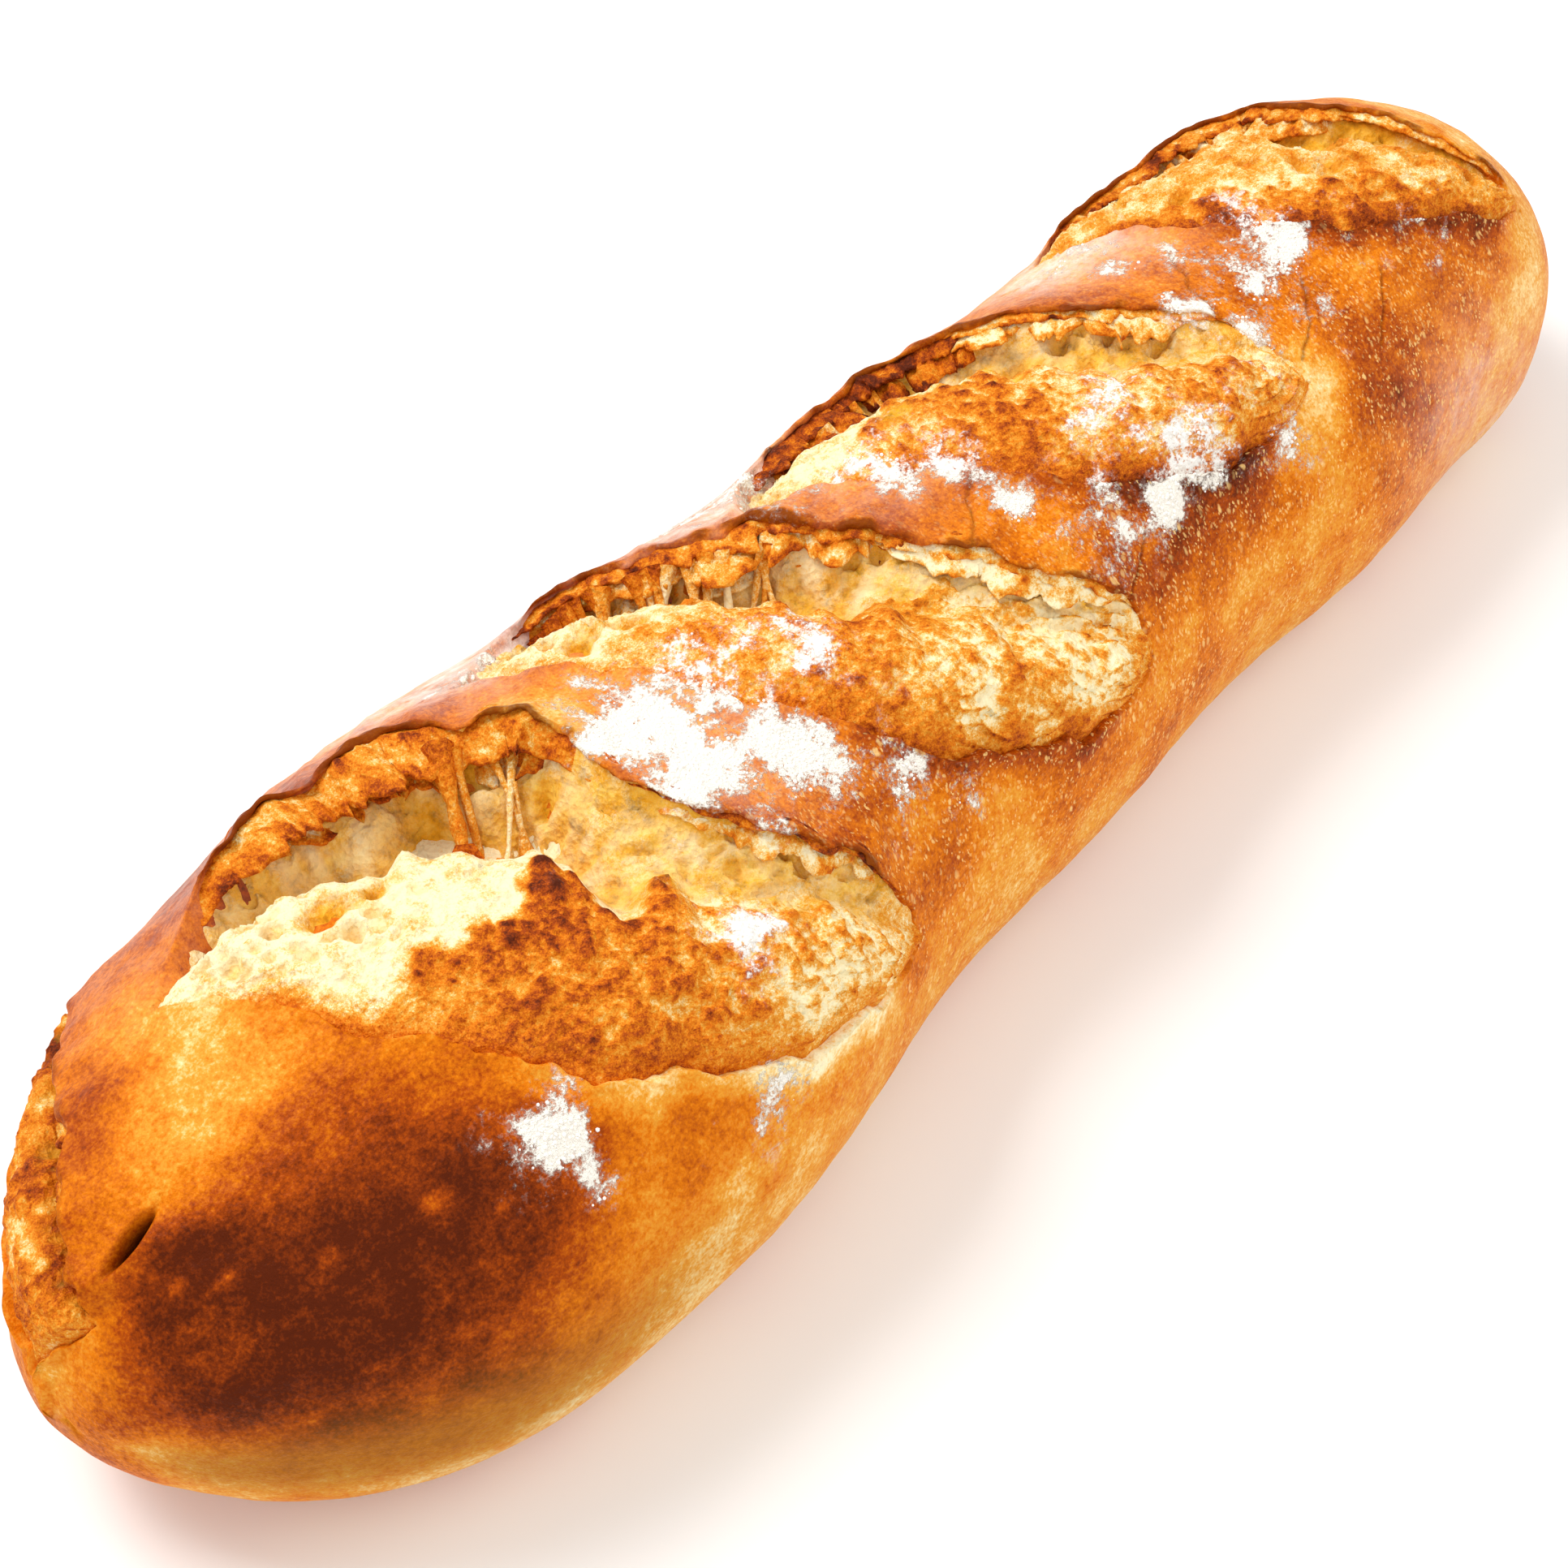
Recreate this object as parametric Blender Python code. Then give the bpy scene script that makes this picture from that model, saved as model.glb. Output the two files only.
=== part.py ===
"""A long crusty bread loaf, torn open along five slanting scores, as one closed solid.

Run it with blender --background --python part.py, or from Blender's text editor.
The loaf lies along X and rests on z = 0. Its wide end is at -X, and the tears face that way.

A place on the crust is given by x, along the loaf, and by an angle round it: 0 on the crest, positive
down the -Y flank. The angle times GIRTH_RADIUS is about a length on the crust. Each tear is a leaf
shape in those two lengths, so it wraps round the loaf as a real one does.
"""

from dataclasses import dataclass

import bmesh
import bpy
import numpy as np
from mathutils import Vector, noise

# The loaf's body, in metres
LENGTH = 0.364
CREST_HEIGHT = 0.0655
HALF_WIDTH = 0.0411
AXIS_SHARE = 0.43  # height of the widest line, as a share of the crest's
SWELL_AT, SWELL_REACH = -0.092, 0.059  # the loaf spreads most here, where its widest tear is
SWELL_SLANT = 0.011  # the swelling lies nearer on the -Y flank and farther on the +Y flank
SWELL_WIDTH, SWELL_HEIGHT = 0.29, 0.02
WAIST_PITCH, WAIST_DEPTH, WAIST_AT = 0.083, 0.035, 0.010  # the -Y flank draws in at each tear
NEAR_CAP, NEAR_FULLNESS = 0.064, 1.8  # how far an end takes to round off, and how blunt it is
FAR_CAP, FAR_FULLNESS = 0.054, 1.9
FAR_SKEW = 0.18  # the far end is fuller towards -Y
BELLY_CAP, BELLY_FULLNESS = 0.046, 2.0  # the underside stays full nearly to the tips
TOP_POWER, BELLY_POWER = 2.05, 2.8  # superellipse powers of the section
FOOT_SINK = 0.0032  # how much of the belly the baking stone flattens
UNEVEN_HEIGHT, UNEVEN_SIZE = 0.0011, 0.045  # slow swelling of the whole crust
GIRTH_RADIUS = 0.045

# The relief of a tear, across it from the rim that stayed low, 0, to the lip that lifted, 1
LIP_REACH = 0.011  # how far the raised lip runs back over the crust
LIP_CURL = 0.0022  # how far the lip leans out over the tear
RIM_HEIGHT, RIM_REACH = 0.0011, 0.004
CREVICE_AT, CREVICE_SPREAD = 0.84, 0.14
MOUND_END = 0.76
CRAG_HEIGHT, CRAG_SIZE = 0.0017, 0.011
TIP_FADE = 0.10  # share of a tear's length over which its relief comes in at each tip
CALM_FROM = 0.35  # share of a tear's length where its lip and crevice begin to calm down
STEP_FROM, STEP_TO = 0.48, 0.57  # where the lip of the widest tear steps back

# The mesh
RING_COUNT, POINTS_ROUND = 104, 56
RING_LEAN = 0.040  # the rings slant along the loaf about as the tears do
CREST_CROWDING = 0.35  # points stand closer over the crest than under the loaf
TIP_CROWDING, TIP_CROWDING_REACH = 2.0, 0.014
SNAP_ROUNDS = 4
ON_EDGE = 0.00005
NOISE_ORIGIN = Vector((3.1, 7.7, 1.9))

CRUST_COLOUR = (0.56, 0.24, 0.055, 1.0)
CRUST_ROUGHNESS = 0.55


@dataclass(frozen=True)
class Score:
    """One cut that opened in the oven. Tips are (x, length round the crust), all in metres."""

    left: tuple  # tip on the +Y side
    right: tuple  # tip on the -Y side
    lip_width: float  # how far the lip bulges from the line between the tips
    lip_peak: float  # where along that line it bulges most
    rim_width: float
    rim_peak: float
    lip_height: float
    crevice: float  # depth under the lip
    mound: float  # how far the torn crumb rose
    calm: float  # share of the lip and the crevice that is lost towards the right tip
    step: float = 0.0  # share of the lip's bulge that is lost at a step


SCORES = (
    Score((-0.134, -0.052), (-0.173, 0.008), -0.004, 0.55, 0.026, 0.50, 0.0026, 0.0050, 0.0024, 0.0),
    Score((-0.139, -0.021), (-0.044, 0.060), 0.038, 0.40, 0.019, 0.50, 0.0058, 0.0120, 0.0030, 0.6, 0.30),
    Score((-0.069, -0.026), (0.024, 0.053), 0.030, 0.27, 0.020, 0.65, 0.0040, 0.0085, 0.0030, 0.5),
    Score((-0.016, -0.021), (0.083, 0.032), 0.038, 0.37, 0.016, 0.70, 0.0042, 0.0085, 0.0032, 0.6),
    Score((0.076, -0.035), (0.156, 0.038), 0.040, 0.46, 0.011, 0.50, 0.0026, 0.0070, 0.0024, 0.6),
)


def smooth_step(low, high, value):
    """0 below low, 1 above high and a smooth ramp between."""
    share = np.clip((value - low) / (high - low), 0.0, 1.0)
    return share * share * (3.0 - 2.0 * share)


def rounding(distance, reach, fullness):
    """How far an end has filled out at a distance from its tip, from 0 to 1."""
    left_over = np.clip(1.0 - distance / reach, 0.0, 1.0)
    return np.maximum(1.0 - left_over**2, 0.0) ** (1.0 / fullness)


def power_of(value, power):
    """A sine or cosine bent to a superellipse, keeping its sign."""
    return np.sign(value) * np.abs(value) ** (2.0 / power)


def body_point(x, angle):
    """Points of the plain loaf, before it tears, as an array with one row each."""
    to_right = np.sin(angle)
    from_near = np.clip(x + LENGTH / 2, 0.0, None)
    from_far = np.clip(LENGTH / 2 - x, 0.0, None) * (1.0 + FAR_SKEW * to_right)
    cap = rounding(from_near, NEAR_CAP, NEAR_FULLNESS) * rounding(from_far, FAR_CAP, FAR_FULLNESS)
    belly = rounding(from_near, BELLY_CAP, BELLY_FULLNESS) * rounding(from_far, BELLY_CAP, BELLY_FULLNESS)
    swell = np.exp(-(((x - SWELL_AT + SWELL_SLANT * to_right) / SWELL_REACH) ** 2))
    waist = WAIST_DEPTH * np.cos(2.0 * np.pi * (x - WAIST_AT) / WAIST_PITCH) * np.maximum(to_right, 0.0)
    width = HALF_WIDTH * (1.0 + SWELL_WIDTH * swell + waist) * cap
    crest = CREST_HEIGHT * (1.0 + SWELL_HEIGHT * swell)
    axis = AXIS_SHARE * crest
    upper = axis + (crest - axis) * cap * power_of(np.cos(angle), TOP_POWER)
    lower = axis - (axis + FOOT_SINK) * belly * power_of(-np.cos(angle), BELLY_POWER)
    over = np.cos(angle) > 0
    side = np.where(over, power_of(to_right, TOP_POWER), power_of(to_right, BELLY_POWER))
    return np.stack([x, -width * side, np.where(over, upper, lower)], axis=-1)


def directions(x, angle, step=1e-4):
    """Unit vectors out of the crust and along the loaf, at each point."""
    half = LENGTH / 2 - 2 * step
    inner = np.clip(x, -half, half)
    along = body_point(inner + step, angle) - body_point(inner - step, angle)
    turn = step / HALF_WIDTH
    round_it = body_point(inner, angle + turn) - body_point(inner, angle - turn)
    outward = np.cross(round_it, along)
    outward /= np.linalg.norm(outward, axis=-1, keepdims=True)
    along /= np.linalg.norm(along, axis=-1, keepdims=True)
    return outward, along


def bulge(share, peak):
    """A leaf edge's distance from the line between its tips, 0 at both and 1 at the peak."""
    return np.sin(np.pi * np.clip(share, 0.0, 1.0) ** (np.log(0.5) / np.log(peak)))


def tear_place(score, x, angle):
    """(share along the tear, distance inside the lip, distance inside the rim) of each point."""
    left, right = np.array(score.left), np.array(score.right)
    chord = right - left
    length = np.hypot(*chord)
    chord /= length
    x_from, arc_from = x - left[0], angle * GIRTH_RADIUS - left[1]
    share = (x_from * chord[0] + arc_from * chord[1]) / length
    beside = x_from * chord[1] - arc_from * chord[0]
    stepped = 1.0 - score.step * smooth_step(STEP_FROM, STEP_TO, share)
    past_tip = length * np.maximum(np.abs(share - 0.5) - 0.5, 0.0)
    in_lip = score.lip_width * bulge(share, score.lip_peak) * stepped - beside - past_tip
    in_rim = score.rim_width * bulge(share, score.rim_peak) + beside - past_tip
    return share, in_lip, in_rim


def inside_depth(score, x, angle):
    """How far each point is inside a tear's edge: negative outside it."""
    share, in_lip, in_rim = tear_place(score, x, angle)
    return np.minimum(in_lip, in_rim)


def tear_relief(score, x, angle):
    """(height over the plain crust, shift along the loaf, share torn) that one score gives each point."""
    share, in_lip, in_rim = tear_place(score, x, angle)
    inside = np.minimum(in_lip, in_rim) > ON_EDGE
    across = np.clip(in_rim / np.maximum(in_lip + in_rim, ON_EDGE), 0.0, 1.0)
    near_tip = smooth_step(0.0, TIP_FADE, share) * smooth_step(0.0, TIP_FADE, 1.0 - share)
    calm = near_tip * (1.0 - score.calm * smooth_step(CALM_FROM, 1.0, share))

    past_lip, past_rim = np.maximum(-in_lip, 0.0), np.maximum(-in_rim, 0.0)
    lip_side = in_lip < in_rim
    lip = score.lip_height * calm * np.exp(-past_lip / LIP_REACH)
    rim = RIM_HEIGHT * near_tip * np.exp(-past_rim / RIM_REACH)
    crevice = score.crevice * calm * np.exp(-(((across - CREVICE_AT) / CREVICE_SPREAD) ** 2))
    mound = score.mound * near_tip * np.sin(np.pi * np.clip(across / MOUND_END, 0.0, 1.0)) ** 0.8

    height = np.where(inside, mound - crevice, np.where(lip_side, lip, rim))
    curl = np.where(inside | ~lip_side, 0.0, -LIP_CURL * calm * np.exp(-past_lip / RIM_REACH))
    return height, curl, inside * near_tip


def noise_at(points, size):
    """Smooth noise of about -1 to 1 at each point, with lumps of the given size."""
    return np.array([noise.noise(Vector(point) / size + NOISE_ORIGIN) for point in points])


def crust_point(x, angle):
    """Points of the baked loaf: the plain body, its slow swelling and every tear."""
    points = body_point(x, angle)
    outward, along = directions(x, angle)
    height = UNEVEN_HEIGHT * noise_at(points, UNEVEN_SIZE)
    shift = np.zeros_like(x)
    torn = np.zeros_like(x)
    for score in SCORES:
        rise, slide, share = tear_relief(score, x, angle)
        height += rise
        shift += slide
        torn = np.maximum(torn, share)
    height += CRAG_HEIGHT * torn * noise_at(points, CRAG_SIZE)
    baked = points + outward * height[:, None] + along * shift[:, None]
    baked[:, 2] = np.maximum(baked[:, 2], 0.0)
    return baked


def ring_stations(shares):
    """Where rings cross the crest, closer together at the tips of the loaf."""
    half = LENGTH / 2
    fine = np.linspace(-half, half, 2001)
    density = 1.0 + TIP_CROWDING * np.exp(-(half - np.abs(fine)) / TIP_CROWDING_REACH)
    counted = np.concatenate([[0.0], np.cumsum((density[1:] + density[:-1]) / 2)])
    return np.interp(shares, counted / counted[-1], fine)


def snap_to_edge(score, x, angle, edges):
    """Moves the nearer end of each mesh edge that crosses a tear's edge onto it."""
    for _ in range(SNAP_ROUNDS):
        depth = inside_depth(score, x, angle)
        depth[np.abs(depth) < ON_EDGE] = 0.0
        first, second = edges[depth[edges[:, 0]] * depth[edges[:, 1]] < 0].T
        share = depth[first] / (depth[first] - depth[second])
        mover = np.where(share < 0.5, first, second)
        move = np.minimum(share, 1.0 - share)
        meet_x = x[first] + share * (x[second] - x[first])
        meet_angle = angle[first] + share * (angle[second] - angle[first])
        for index in np.argsort(-move):
            x[mover[index]], angle[mover[index]] = meet_x[index], meet_angle[index]


def place(shape, points):
    """Moves every vertex of a mesh to its point."""
    for vertex, point in zip(shape.verts, points):
        vertex.co = point


def loaf_mesh():
    """A sphere whose rings and columns are moved to the baked crust."""
    shape = bmesh.new()
    bmesh.ops.create_uvsphere(shape, u_segments=POINTS_ROUND, v_segments=RING_COUNT, radius=1.0)
    unit = np.array([vertex.co for vertex in shape.verts])
    turned = np.arctan2(unit[:, 0], unit[:, 1])
    angle = turned - CREST_CROWDING * np.sin(turned)
    station = ring_stations(np.arccos(np.clip(-unit[:, 2], -1.0, 1.0)) / np.pi)
    x = station + RING_LEAN * np.sin(angle) * (1.0 - (2.0 * station / LENGTH) ** 2)
    place(shape, body_point(x, angle))
    bmesh.ops.triangulate(shape, faces=shape.faces, quad_method="SHORT_EDGE")
    edges = np.array([[vertex.index for vertex in edge.verts] for edge in shape.edges])
    edges = edges[np.abs(angle[edges[:, 0]] - angle[edges[:, 1]]) < 1.0]
    for score in SCORES:
        snap_to_edge(score, x, angle, edges)
    baked = crust_point(x, angle)
    low, high = baked.min(axis=0), baked.max(axis=0)
    baked -= [(low[0] + high[0]) / 2, (low[1] + high[1]) / 2, low[2]]
    place(shape, baked)
    bmesh.ops.recalc_face_normals(shape, faces=shape.faces)
    mesh = bpy.data.meshes.new("loaf")
    shape.to_mesh(mesh)
    shape.free()
    mesh.shade_smooth()
    return mesh


def crust_material():
    """Golden brown baked crust."""
    material = bpy.data.materials.new("crust")
    material.use_nodes = True
    shader = material.node_tree.nodes["Principled BSDF"]
    shader.inputs["Base Color"].default_value = CRUST_COLOUR
    shader.inputs["Roughness"].default_value = CRUST_ROUGHNESS
    shader.inputs["Metallic"].default_value = 0.0
    return material


def main():
    """Clears the scene and builds the loaf."""
    for old in list(bpy.data.objects):
        bpy.data.objects.remove(old)
    bread = bpy.data.collections.new("bread_loaf")
    bpy.context.scene.collection.children.link(bread)
    mesh = loaf_mesh()
    mesh.materials.append(crust_material())
    bread.objects.link(bpy.data.objects.new("loaf", mesh))


main()
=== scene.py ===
"""Looks of a long crusty bread loaf: browned crust, torn crumb in five scores, strands and flour.

A place on the loaf is given by x, along it, and by an angle round it: 0 on the crest and positive down
the -Y flank. The angle times GIRTH is about a length on the crust. Sizes are in metres.
"""
import logging
from dataclasses import dataclass
from enum import Enum

import bmesh
import bpy
import numpy as np
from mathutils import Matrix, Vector, noise


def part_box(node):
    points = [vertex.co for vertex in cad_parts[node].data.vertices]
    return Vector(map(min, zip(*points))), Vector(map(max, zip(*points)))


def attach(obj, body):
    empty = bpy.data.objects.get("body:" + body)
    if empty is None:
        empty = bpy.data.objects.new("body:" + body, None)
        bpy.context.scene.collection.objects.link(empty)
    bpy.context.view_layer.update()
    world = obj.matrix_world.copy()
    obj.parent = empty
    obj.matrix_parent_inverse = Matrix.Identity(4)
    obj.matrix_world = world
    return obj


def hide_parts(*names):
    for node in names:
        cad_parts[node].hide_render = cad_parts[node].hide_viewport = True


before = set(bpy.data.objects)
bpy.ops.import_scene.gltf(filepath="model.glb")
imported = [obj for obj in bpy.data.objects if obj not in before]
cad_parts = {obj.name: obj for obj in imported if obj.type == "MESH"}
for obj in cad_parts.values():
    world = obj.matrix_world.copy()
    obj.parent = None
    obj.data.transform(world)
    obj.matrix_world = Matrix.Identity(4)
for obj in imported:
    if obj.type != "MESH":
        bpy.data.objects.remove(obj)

LOG = logging.getLogger("loaf")
Array = np.ndarray
Colour = tuple[float, float, float]
Faces = list[list[int]]
Feed = float | bpy.types.NodeSocket

MM = 0.001
GIRTH = 0.045
NOISE_ORIGIN = np.array((3.1, 7.7, 1.9))
NODE = "loaf"
BODY = "root"
SEED = 7
LIP_NOISE = 0.007  # size of the unevenness of the lips
CRUMB_NOISE = 0.012  # size of the slow waves of the crumb
BLOTCH_NOISE = 0.030  # size of the blotches that the oven made


def smooth_step(low: float, high: float, value: Array) -> Array:
    """A smooth ramp.

    Args:
        low: where the ramp leaves 0.
        high: where it reaches 1.
        value: the places to read it at.

    Returns:
        The ramp's height at each place.
    """
    share = np.clip((value - low) / (high - low), 0.0, 1.0)
    return share * share * (3.0 - 2.0 * share)


def power_of(value: Array, power: float) -> Array:
    """Bends a sine or cosine to a superellipse of the given power, keeping its sign."""
    return np.sign(value) * np.abs(value) ** (2.0 / power)


def lumps(points: Array, size: float, octaves: int = 1) -> Array:
    """Smooth noise.

    Args:
        points: one row for each place.
        size: how large the lumps are.
        octaves: how many finer layers are added.

    Returns:
        A value of about -1 to 1 for each place.
    """
    rows = (points / size + NOISE_ORIGIN).tolist()
    if octaves == 1:
        return np.array([noise.noise(row) for row in rows])
    return np.array([noise.fractal(row, 1.0, 2.0, octaves) for row in rows])


def crags(points: Array, size: float) -> Array:
    """Sharp-edged noise of about 0 to 1, like torn crumb, with crags of the given size."""
    rows = (points / size + NOISE_ORIGIN).tolist()
    return np.array([noise.turbulence(row, 3, True) for row in rows])


def holes(points: Array, size: float, share: float) -> Array:
    """Round pits.

    Args:
        points: one row for each place.
        size: spacing of the pits.
        share: radius of a pit as a share of the spacing.

    Returns:
        1 in the middle of a pit and 0 outside it, for each place.
    """
    rows = (points / size + NOISE_ORIGIN).tolist()
    near = np.array([noise.voronoi(row)[0][0] for row in rows])
    return np.clip(1.0 - near / share, 0.0, 1.0)


@dataclass(frozen=True)
class LoafBody:
    """The plain loaf before it tears, with the sizes that the solid has."""

    length: float = 0.364
    crest_height: float = 0.0655
    half_width: float = 0.0411
    axis_share: float = 0.43
    swell_at: float = -0.092
    swell_reach: float = 0.059
    swell_slant: float = 0.011
    swell_width: float = 0.29
    swell_height: float = 0.02
    waist_pitch: float = 0.083
    waist_depth: float = 0.035
    waist_at: float = 0.010
    near_cap: float = 0.064
    near_fullness: float = 1.8
    far_cap: float = 0.054
    far_fullness: float = 1.9
    far_skew: float = 0.18
    belly_cap: float = 0.046
    belly_fullness: float = 2.0
    top_power: float = 2.05
    belly_power: float = 2.8
    foot_sink: float = 0.0032
    uneven_height: float = 0.0011
    uneven_size: float = 0.045

    @staticmethod
    def rounding(distance: Array, reach: float, fullness: float) -> Array:
        """How far an end has filled out at a distance from its tip, from 0 to 1."""
        left_over = np.clip(1.0 - distance / reach, 0.0, 1.0)
        return np.maximum(1.0 - left_over**2, 0.0) ** (1.0 / fullness)

    def point(self, x: Array, angle: Array) -> Array:
        """Points of the plain loaf.

        Args:
            x: places along the loaf.
            angle: angles round it.

        Returns:
            One row of coordinates for each place.
        """
        right = np.sin(angle)
        from_near = np.clip(x + self.length / 2, 0.0, None)
        from_far = np.clip(self.length / 2 - x, 0.0, None) * (1.0 + self.far_skew * right)
        cap = self.rounding(from_near, self.near_cap, self.near_fullness)
        cap = cap * self.rounding(from_far, self.far_cap, self.far_fullness)
        belly = self.rounding(from_near, self.belly_cap, self.belly_fullness)
        belly = belly * self.rounding(from_far, self.belly_cap, self.belly_fullness)
        swell = np.exp(-(((x - self.swell_at + self.swell_slant * right) / self.swell_reach) ** 2))
        wave = np.cos(2.0 * np.pi * (x - self.waist_at) / self.waist_pitch)
        waist = self.waist_depth * wave * np.maximum(right, 0.0)
        width = self.half_width * (1.0 + self.swell_width * swell + waist) * cap
        crest = self.crest_height * (1.0 + self.swell_height * swell)
        axis = self.axis_share * crest
        upper = axis + (crest - axis) * cap * power_of(np.cos(angle), self.top_power)
        lower = axis - (axis + self.foot_sink) * belly * power_of(-np.cos(angle), self.belly_power)
        over = np.cos(angle) > 0
        side = np.where(over, power_of(right, self.top_power), power_of(right, self.belly_power))
        return np.stack([x, -width * side, np.where(over, upper, lower)], axis=-1)

    def frame_at(self, x: Array, angle: Array) -> tuple[Array, Array, Array]:
        """Directions on the crust.

        Args:
            x: places along the loaf.
            angle: angles round it.

        Returns:
            Unit vectors out of the crust, along the loaf and round it, one row for each place.
        """
        step = 1e-4
        half = self.length / 2 - 2 * step
        inner = np.clip(x, -half, half)
        turn = step / self.half_width
        along = self.point(inner + step, angle) - self.point(inner - step, angle)
        around = self.point(inner, angle + turn) - self.point(inner, angle - turn)
        outward = np.cross(around, along)
        vectors = (outward, along, around)
        return tuple(one / np.linalg.norm(one, axis=-1, keepdims=True) for one in vectors)

    def unevenness(self, points: Array) -> Array:
        """The slow swelling of the whole crust, as a height at each point."""
        return self.uneven_height * lumps(points, self.uneven_size)


@dataclass(frozen=True)
class Place:
    """Where points lie in a tear: one value for each point in every field."""

    share: Array  # along the tear, from its +Y tip to its -Y tip
    in_lip: Array  # distance inside the lifted edge, negative on the crust
    in_rim: Array  # distance inside the edge that stayed low
    lip_x: Array  # direction from the tear over the lip, along the loaf
    lip_arc: Array  # the same direction, round the loaf

    @property
    def depth(self) -> Array:
        """Distance inside the nearer edge."""
        return np.minimum(self.in_lip, self.in_rim)

    @property
    def across(self) -> Array:
        """From 0 at the rim to 1 at the lip."""
        return np.clip(self.in_rim / np.maximum(self.in_lip + self.in_rim, 1e-5), 0.0, 1.0)


@dataclass(frozen=True)
class Tear:
    """One score that opened in the oven, a leaf shape with its tips at (x, length round the crust)."""

    name: str
    left: tuple[float, float]
    right: tuple[float, float]
    lip_width: float
    lip_peak: float
    rim_width: float
    rim_peak: float
    lip_height: float
    crevice: float
    mound: float
    calm: float
    step: float = 0.0
    plate: float = 0.62
    plate_right: float = 0.62
    crag: float = 1.0
    blunt: float = 0.3
    layered: float = 0.5
    shelf: float = 0.0
    pale_until: float = 0.30
    fairer: float = 0.0
    golden: float = 0.0
    browner: float = 0.0
    plate_from: float = 0.08
    plate_to: float = 0.34
    wander: float = 0.0012
    rim_toast: float = 0.0
    charred: float = 1.0
    ragged: float = 0.0011
    tip_fade: float = 0.10
    crevice_at: float = 0.84
    crevice_spread: float = 0.125
    mound_end: float = 0.76

    @property
    def chord(self) -> Array:
        """Unit vector from the left tip to the right one."""
        span = np.array(self.right) - np.array(self.left)
        return span / np.hypot(*span)

    @property
    def length(self) -> float:
        """Distance between the tips."""
        return float(np.hypot(*(np.array(self.right) - np.array(self.left))))

    @staticmethod
    def bulge(share: Array, peak: float) -> Array:
        """An edge's distance from the line between the tips: 0 at both and 1 at the peak."""
        return np.sin(np.pi * np.clip(share, 0.0, 1.0) ** (np.log(0.5) / np.log(peak)))

    def _blunted(self, share: Array, peak: float) -> Array:
        """The bulge with a rounder right end."""
        power = 1.0 - self.blunt * smooth_step(0.55, 0.95, share)
        return self.bulge(share, peak) ** power

    def _wander(self, share: Array, phase: float) -> Array:
        """How far an edge strays from its smooth line.

        Args:
            share: places along the tear.
            phase: a number that gives each edge its own waves.

        Returns:
            The distance at each place.
        """
        run = np.clip(share, 0.0, 1.0) * self.length
        phase = phase + 40.0 * self.left[0]
        waves = ((0.031, 0.55, 1.3), (0.0165, 0.40, 2.9), (0.0091, 0.25, 4.1))
        total = sum(size * np.sin(2.0 * np.pi * run / pitch + phase * turn) for pitch, size, turn in waves)
        return self.wander * total * smooth_step(0.0, 0.15, share) * smooth_step(1.0, 0.85, share)

    def lip_bulge(self, share: Array) -> Array:
        """How far the lip lies from the line between the tips, with its step."""
        stepped = 1.0 - self.step * smooth_step(0.48, 0.57, share)
        return self.lip_width * self._blunted(share, self.lip_peak) * stepped + self._wander(share, 1.0)

    def rim_bulge(self, share: Array) -> Array:
        """How far the rim lies from the line between the tips."""
        return self.rim_width * self._blunted(share, self.rim_peak) + self._wander(share, 2.3)

    def _edges(self, x: Array, arc: Array) -> tuple[Array, Array, Array]:
        """Measures places against the tear's two edges.

        Args:
            x: places along the loaf.
            arc: lengths round it.

        Returns:
            Share along the tear and both edge functions, which are 0 on their edges.
        """
        chord, length = self.chord, self.length
        from_x, from_arc = x - self.left[0], arc - self.left[1]
        share = (from_x * chord[0] + from_arc * chord[1]) / length
        beside = from_x * chord[1] - from_arc * chord[0]
        past_tip = length * np.maximum(np.abs(share - 0.5) - 0.5, 0.0)
        return share, self.lip_bulge(share) - beside - past_tip, self.rim_bulge(share) + beside - past_tip

    def place(self, x: Array, angle: Array) -> Place:
        """Where points lie in this tear.

        Args:
            x: places along the loaf.
            angle: angles round it.

        Returns:
            Their place, with true distances near the edges.
        """
        arc, step = angle * GIRTH, 1e-5
        share, lip, rim = self._edges(x, arc)
        _, lip_x, rim_x = self._edges(x + step, arc)
        _, lip_arc, rim_arc = self._edges(x, arc + step)
        slope_x, slope_arc = (lip_x - lip) / step, (lip_arc - lip) / step
        lip_slope = np.maximum(np.hypot(slope_x, slope_arc), 1.0)
        rim_slope = np.maximum(np.hypot((rim_x - rim) / step, (rim_arc - rim) / step), 1.0)
        return Place(share, lip / lip_slope, rim / rim_slope, -slope_x / lip_slope, -slope_arc / lip_slope)

    def near_tip(self, share: Array) -> Array:
        """Fades all relief to 0 at the tips."""
        return smooth_step(0.0, self.tip_fade, share) * smooth_step(0.0, self.tip_fade, 1.0 - share)

    def strength(self, share: Array) -> Array:
        """How strong the lip and the crevice are along the tear."""
        return self.near_tip(share) * (1.0 - self.calm * smooth_step(0.35, 1.0, share))

    def lip_top(self, share: Array, chop: Array) -> Array:
        """Height of the lifted edge, made uneven by noise."""
        return self.lip_height * self.strength(share) * (1.0 + 0.35 * chop)

    def valley(self, across: Array, wave: Array) -> Array:
        """1 along the bottom of the crevice under the lip, 0 away from it."""
        return np.exp(-(((across - self.crevice_at - 0.03 * wave) / self.crevice_spread) ** 2))

    def valley_depth(self, share: Array) -> Array:
        """Depth of the crevice along the tear, less where the right part is only a shelf."""
        return self.crevice * self.strength(share) * (1.0 - self.shelf * smooth_step(0.46, 0.58, share))

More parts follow.
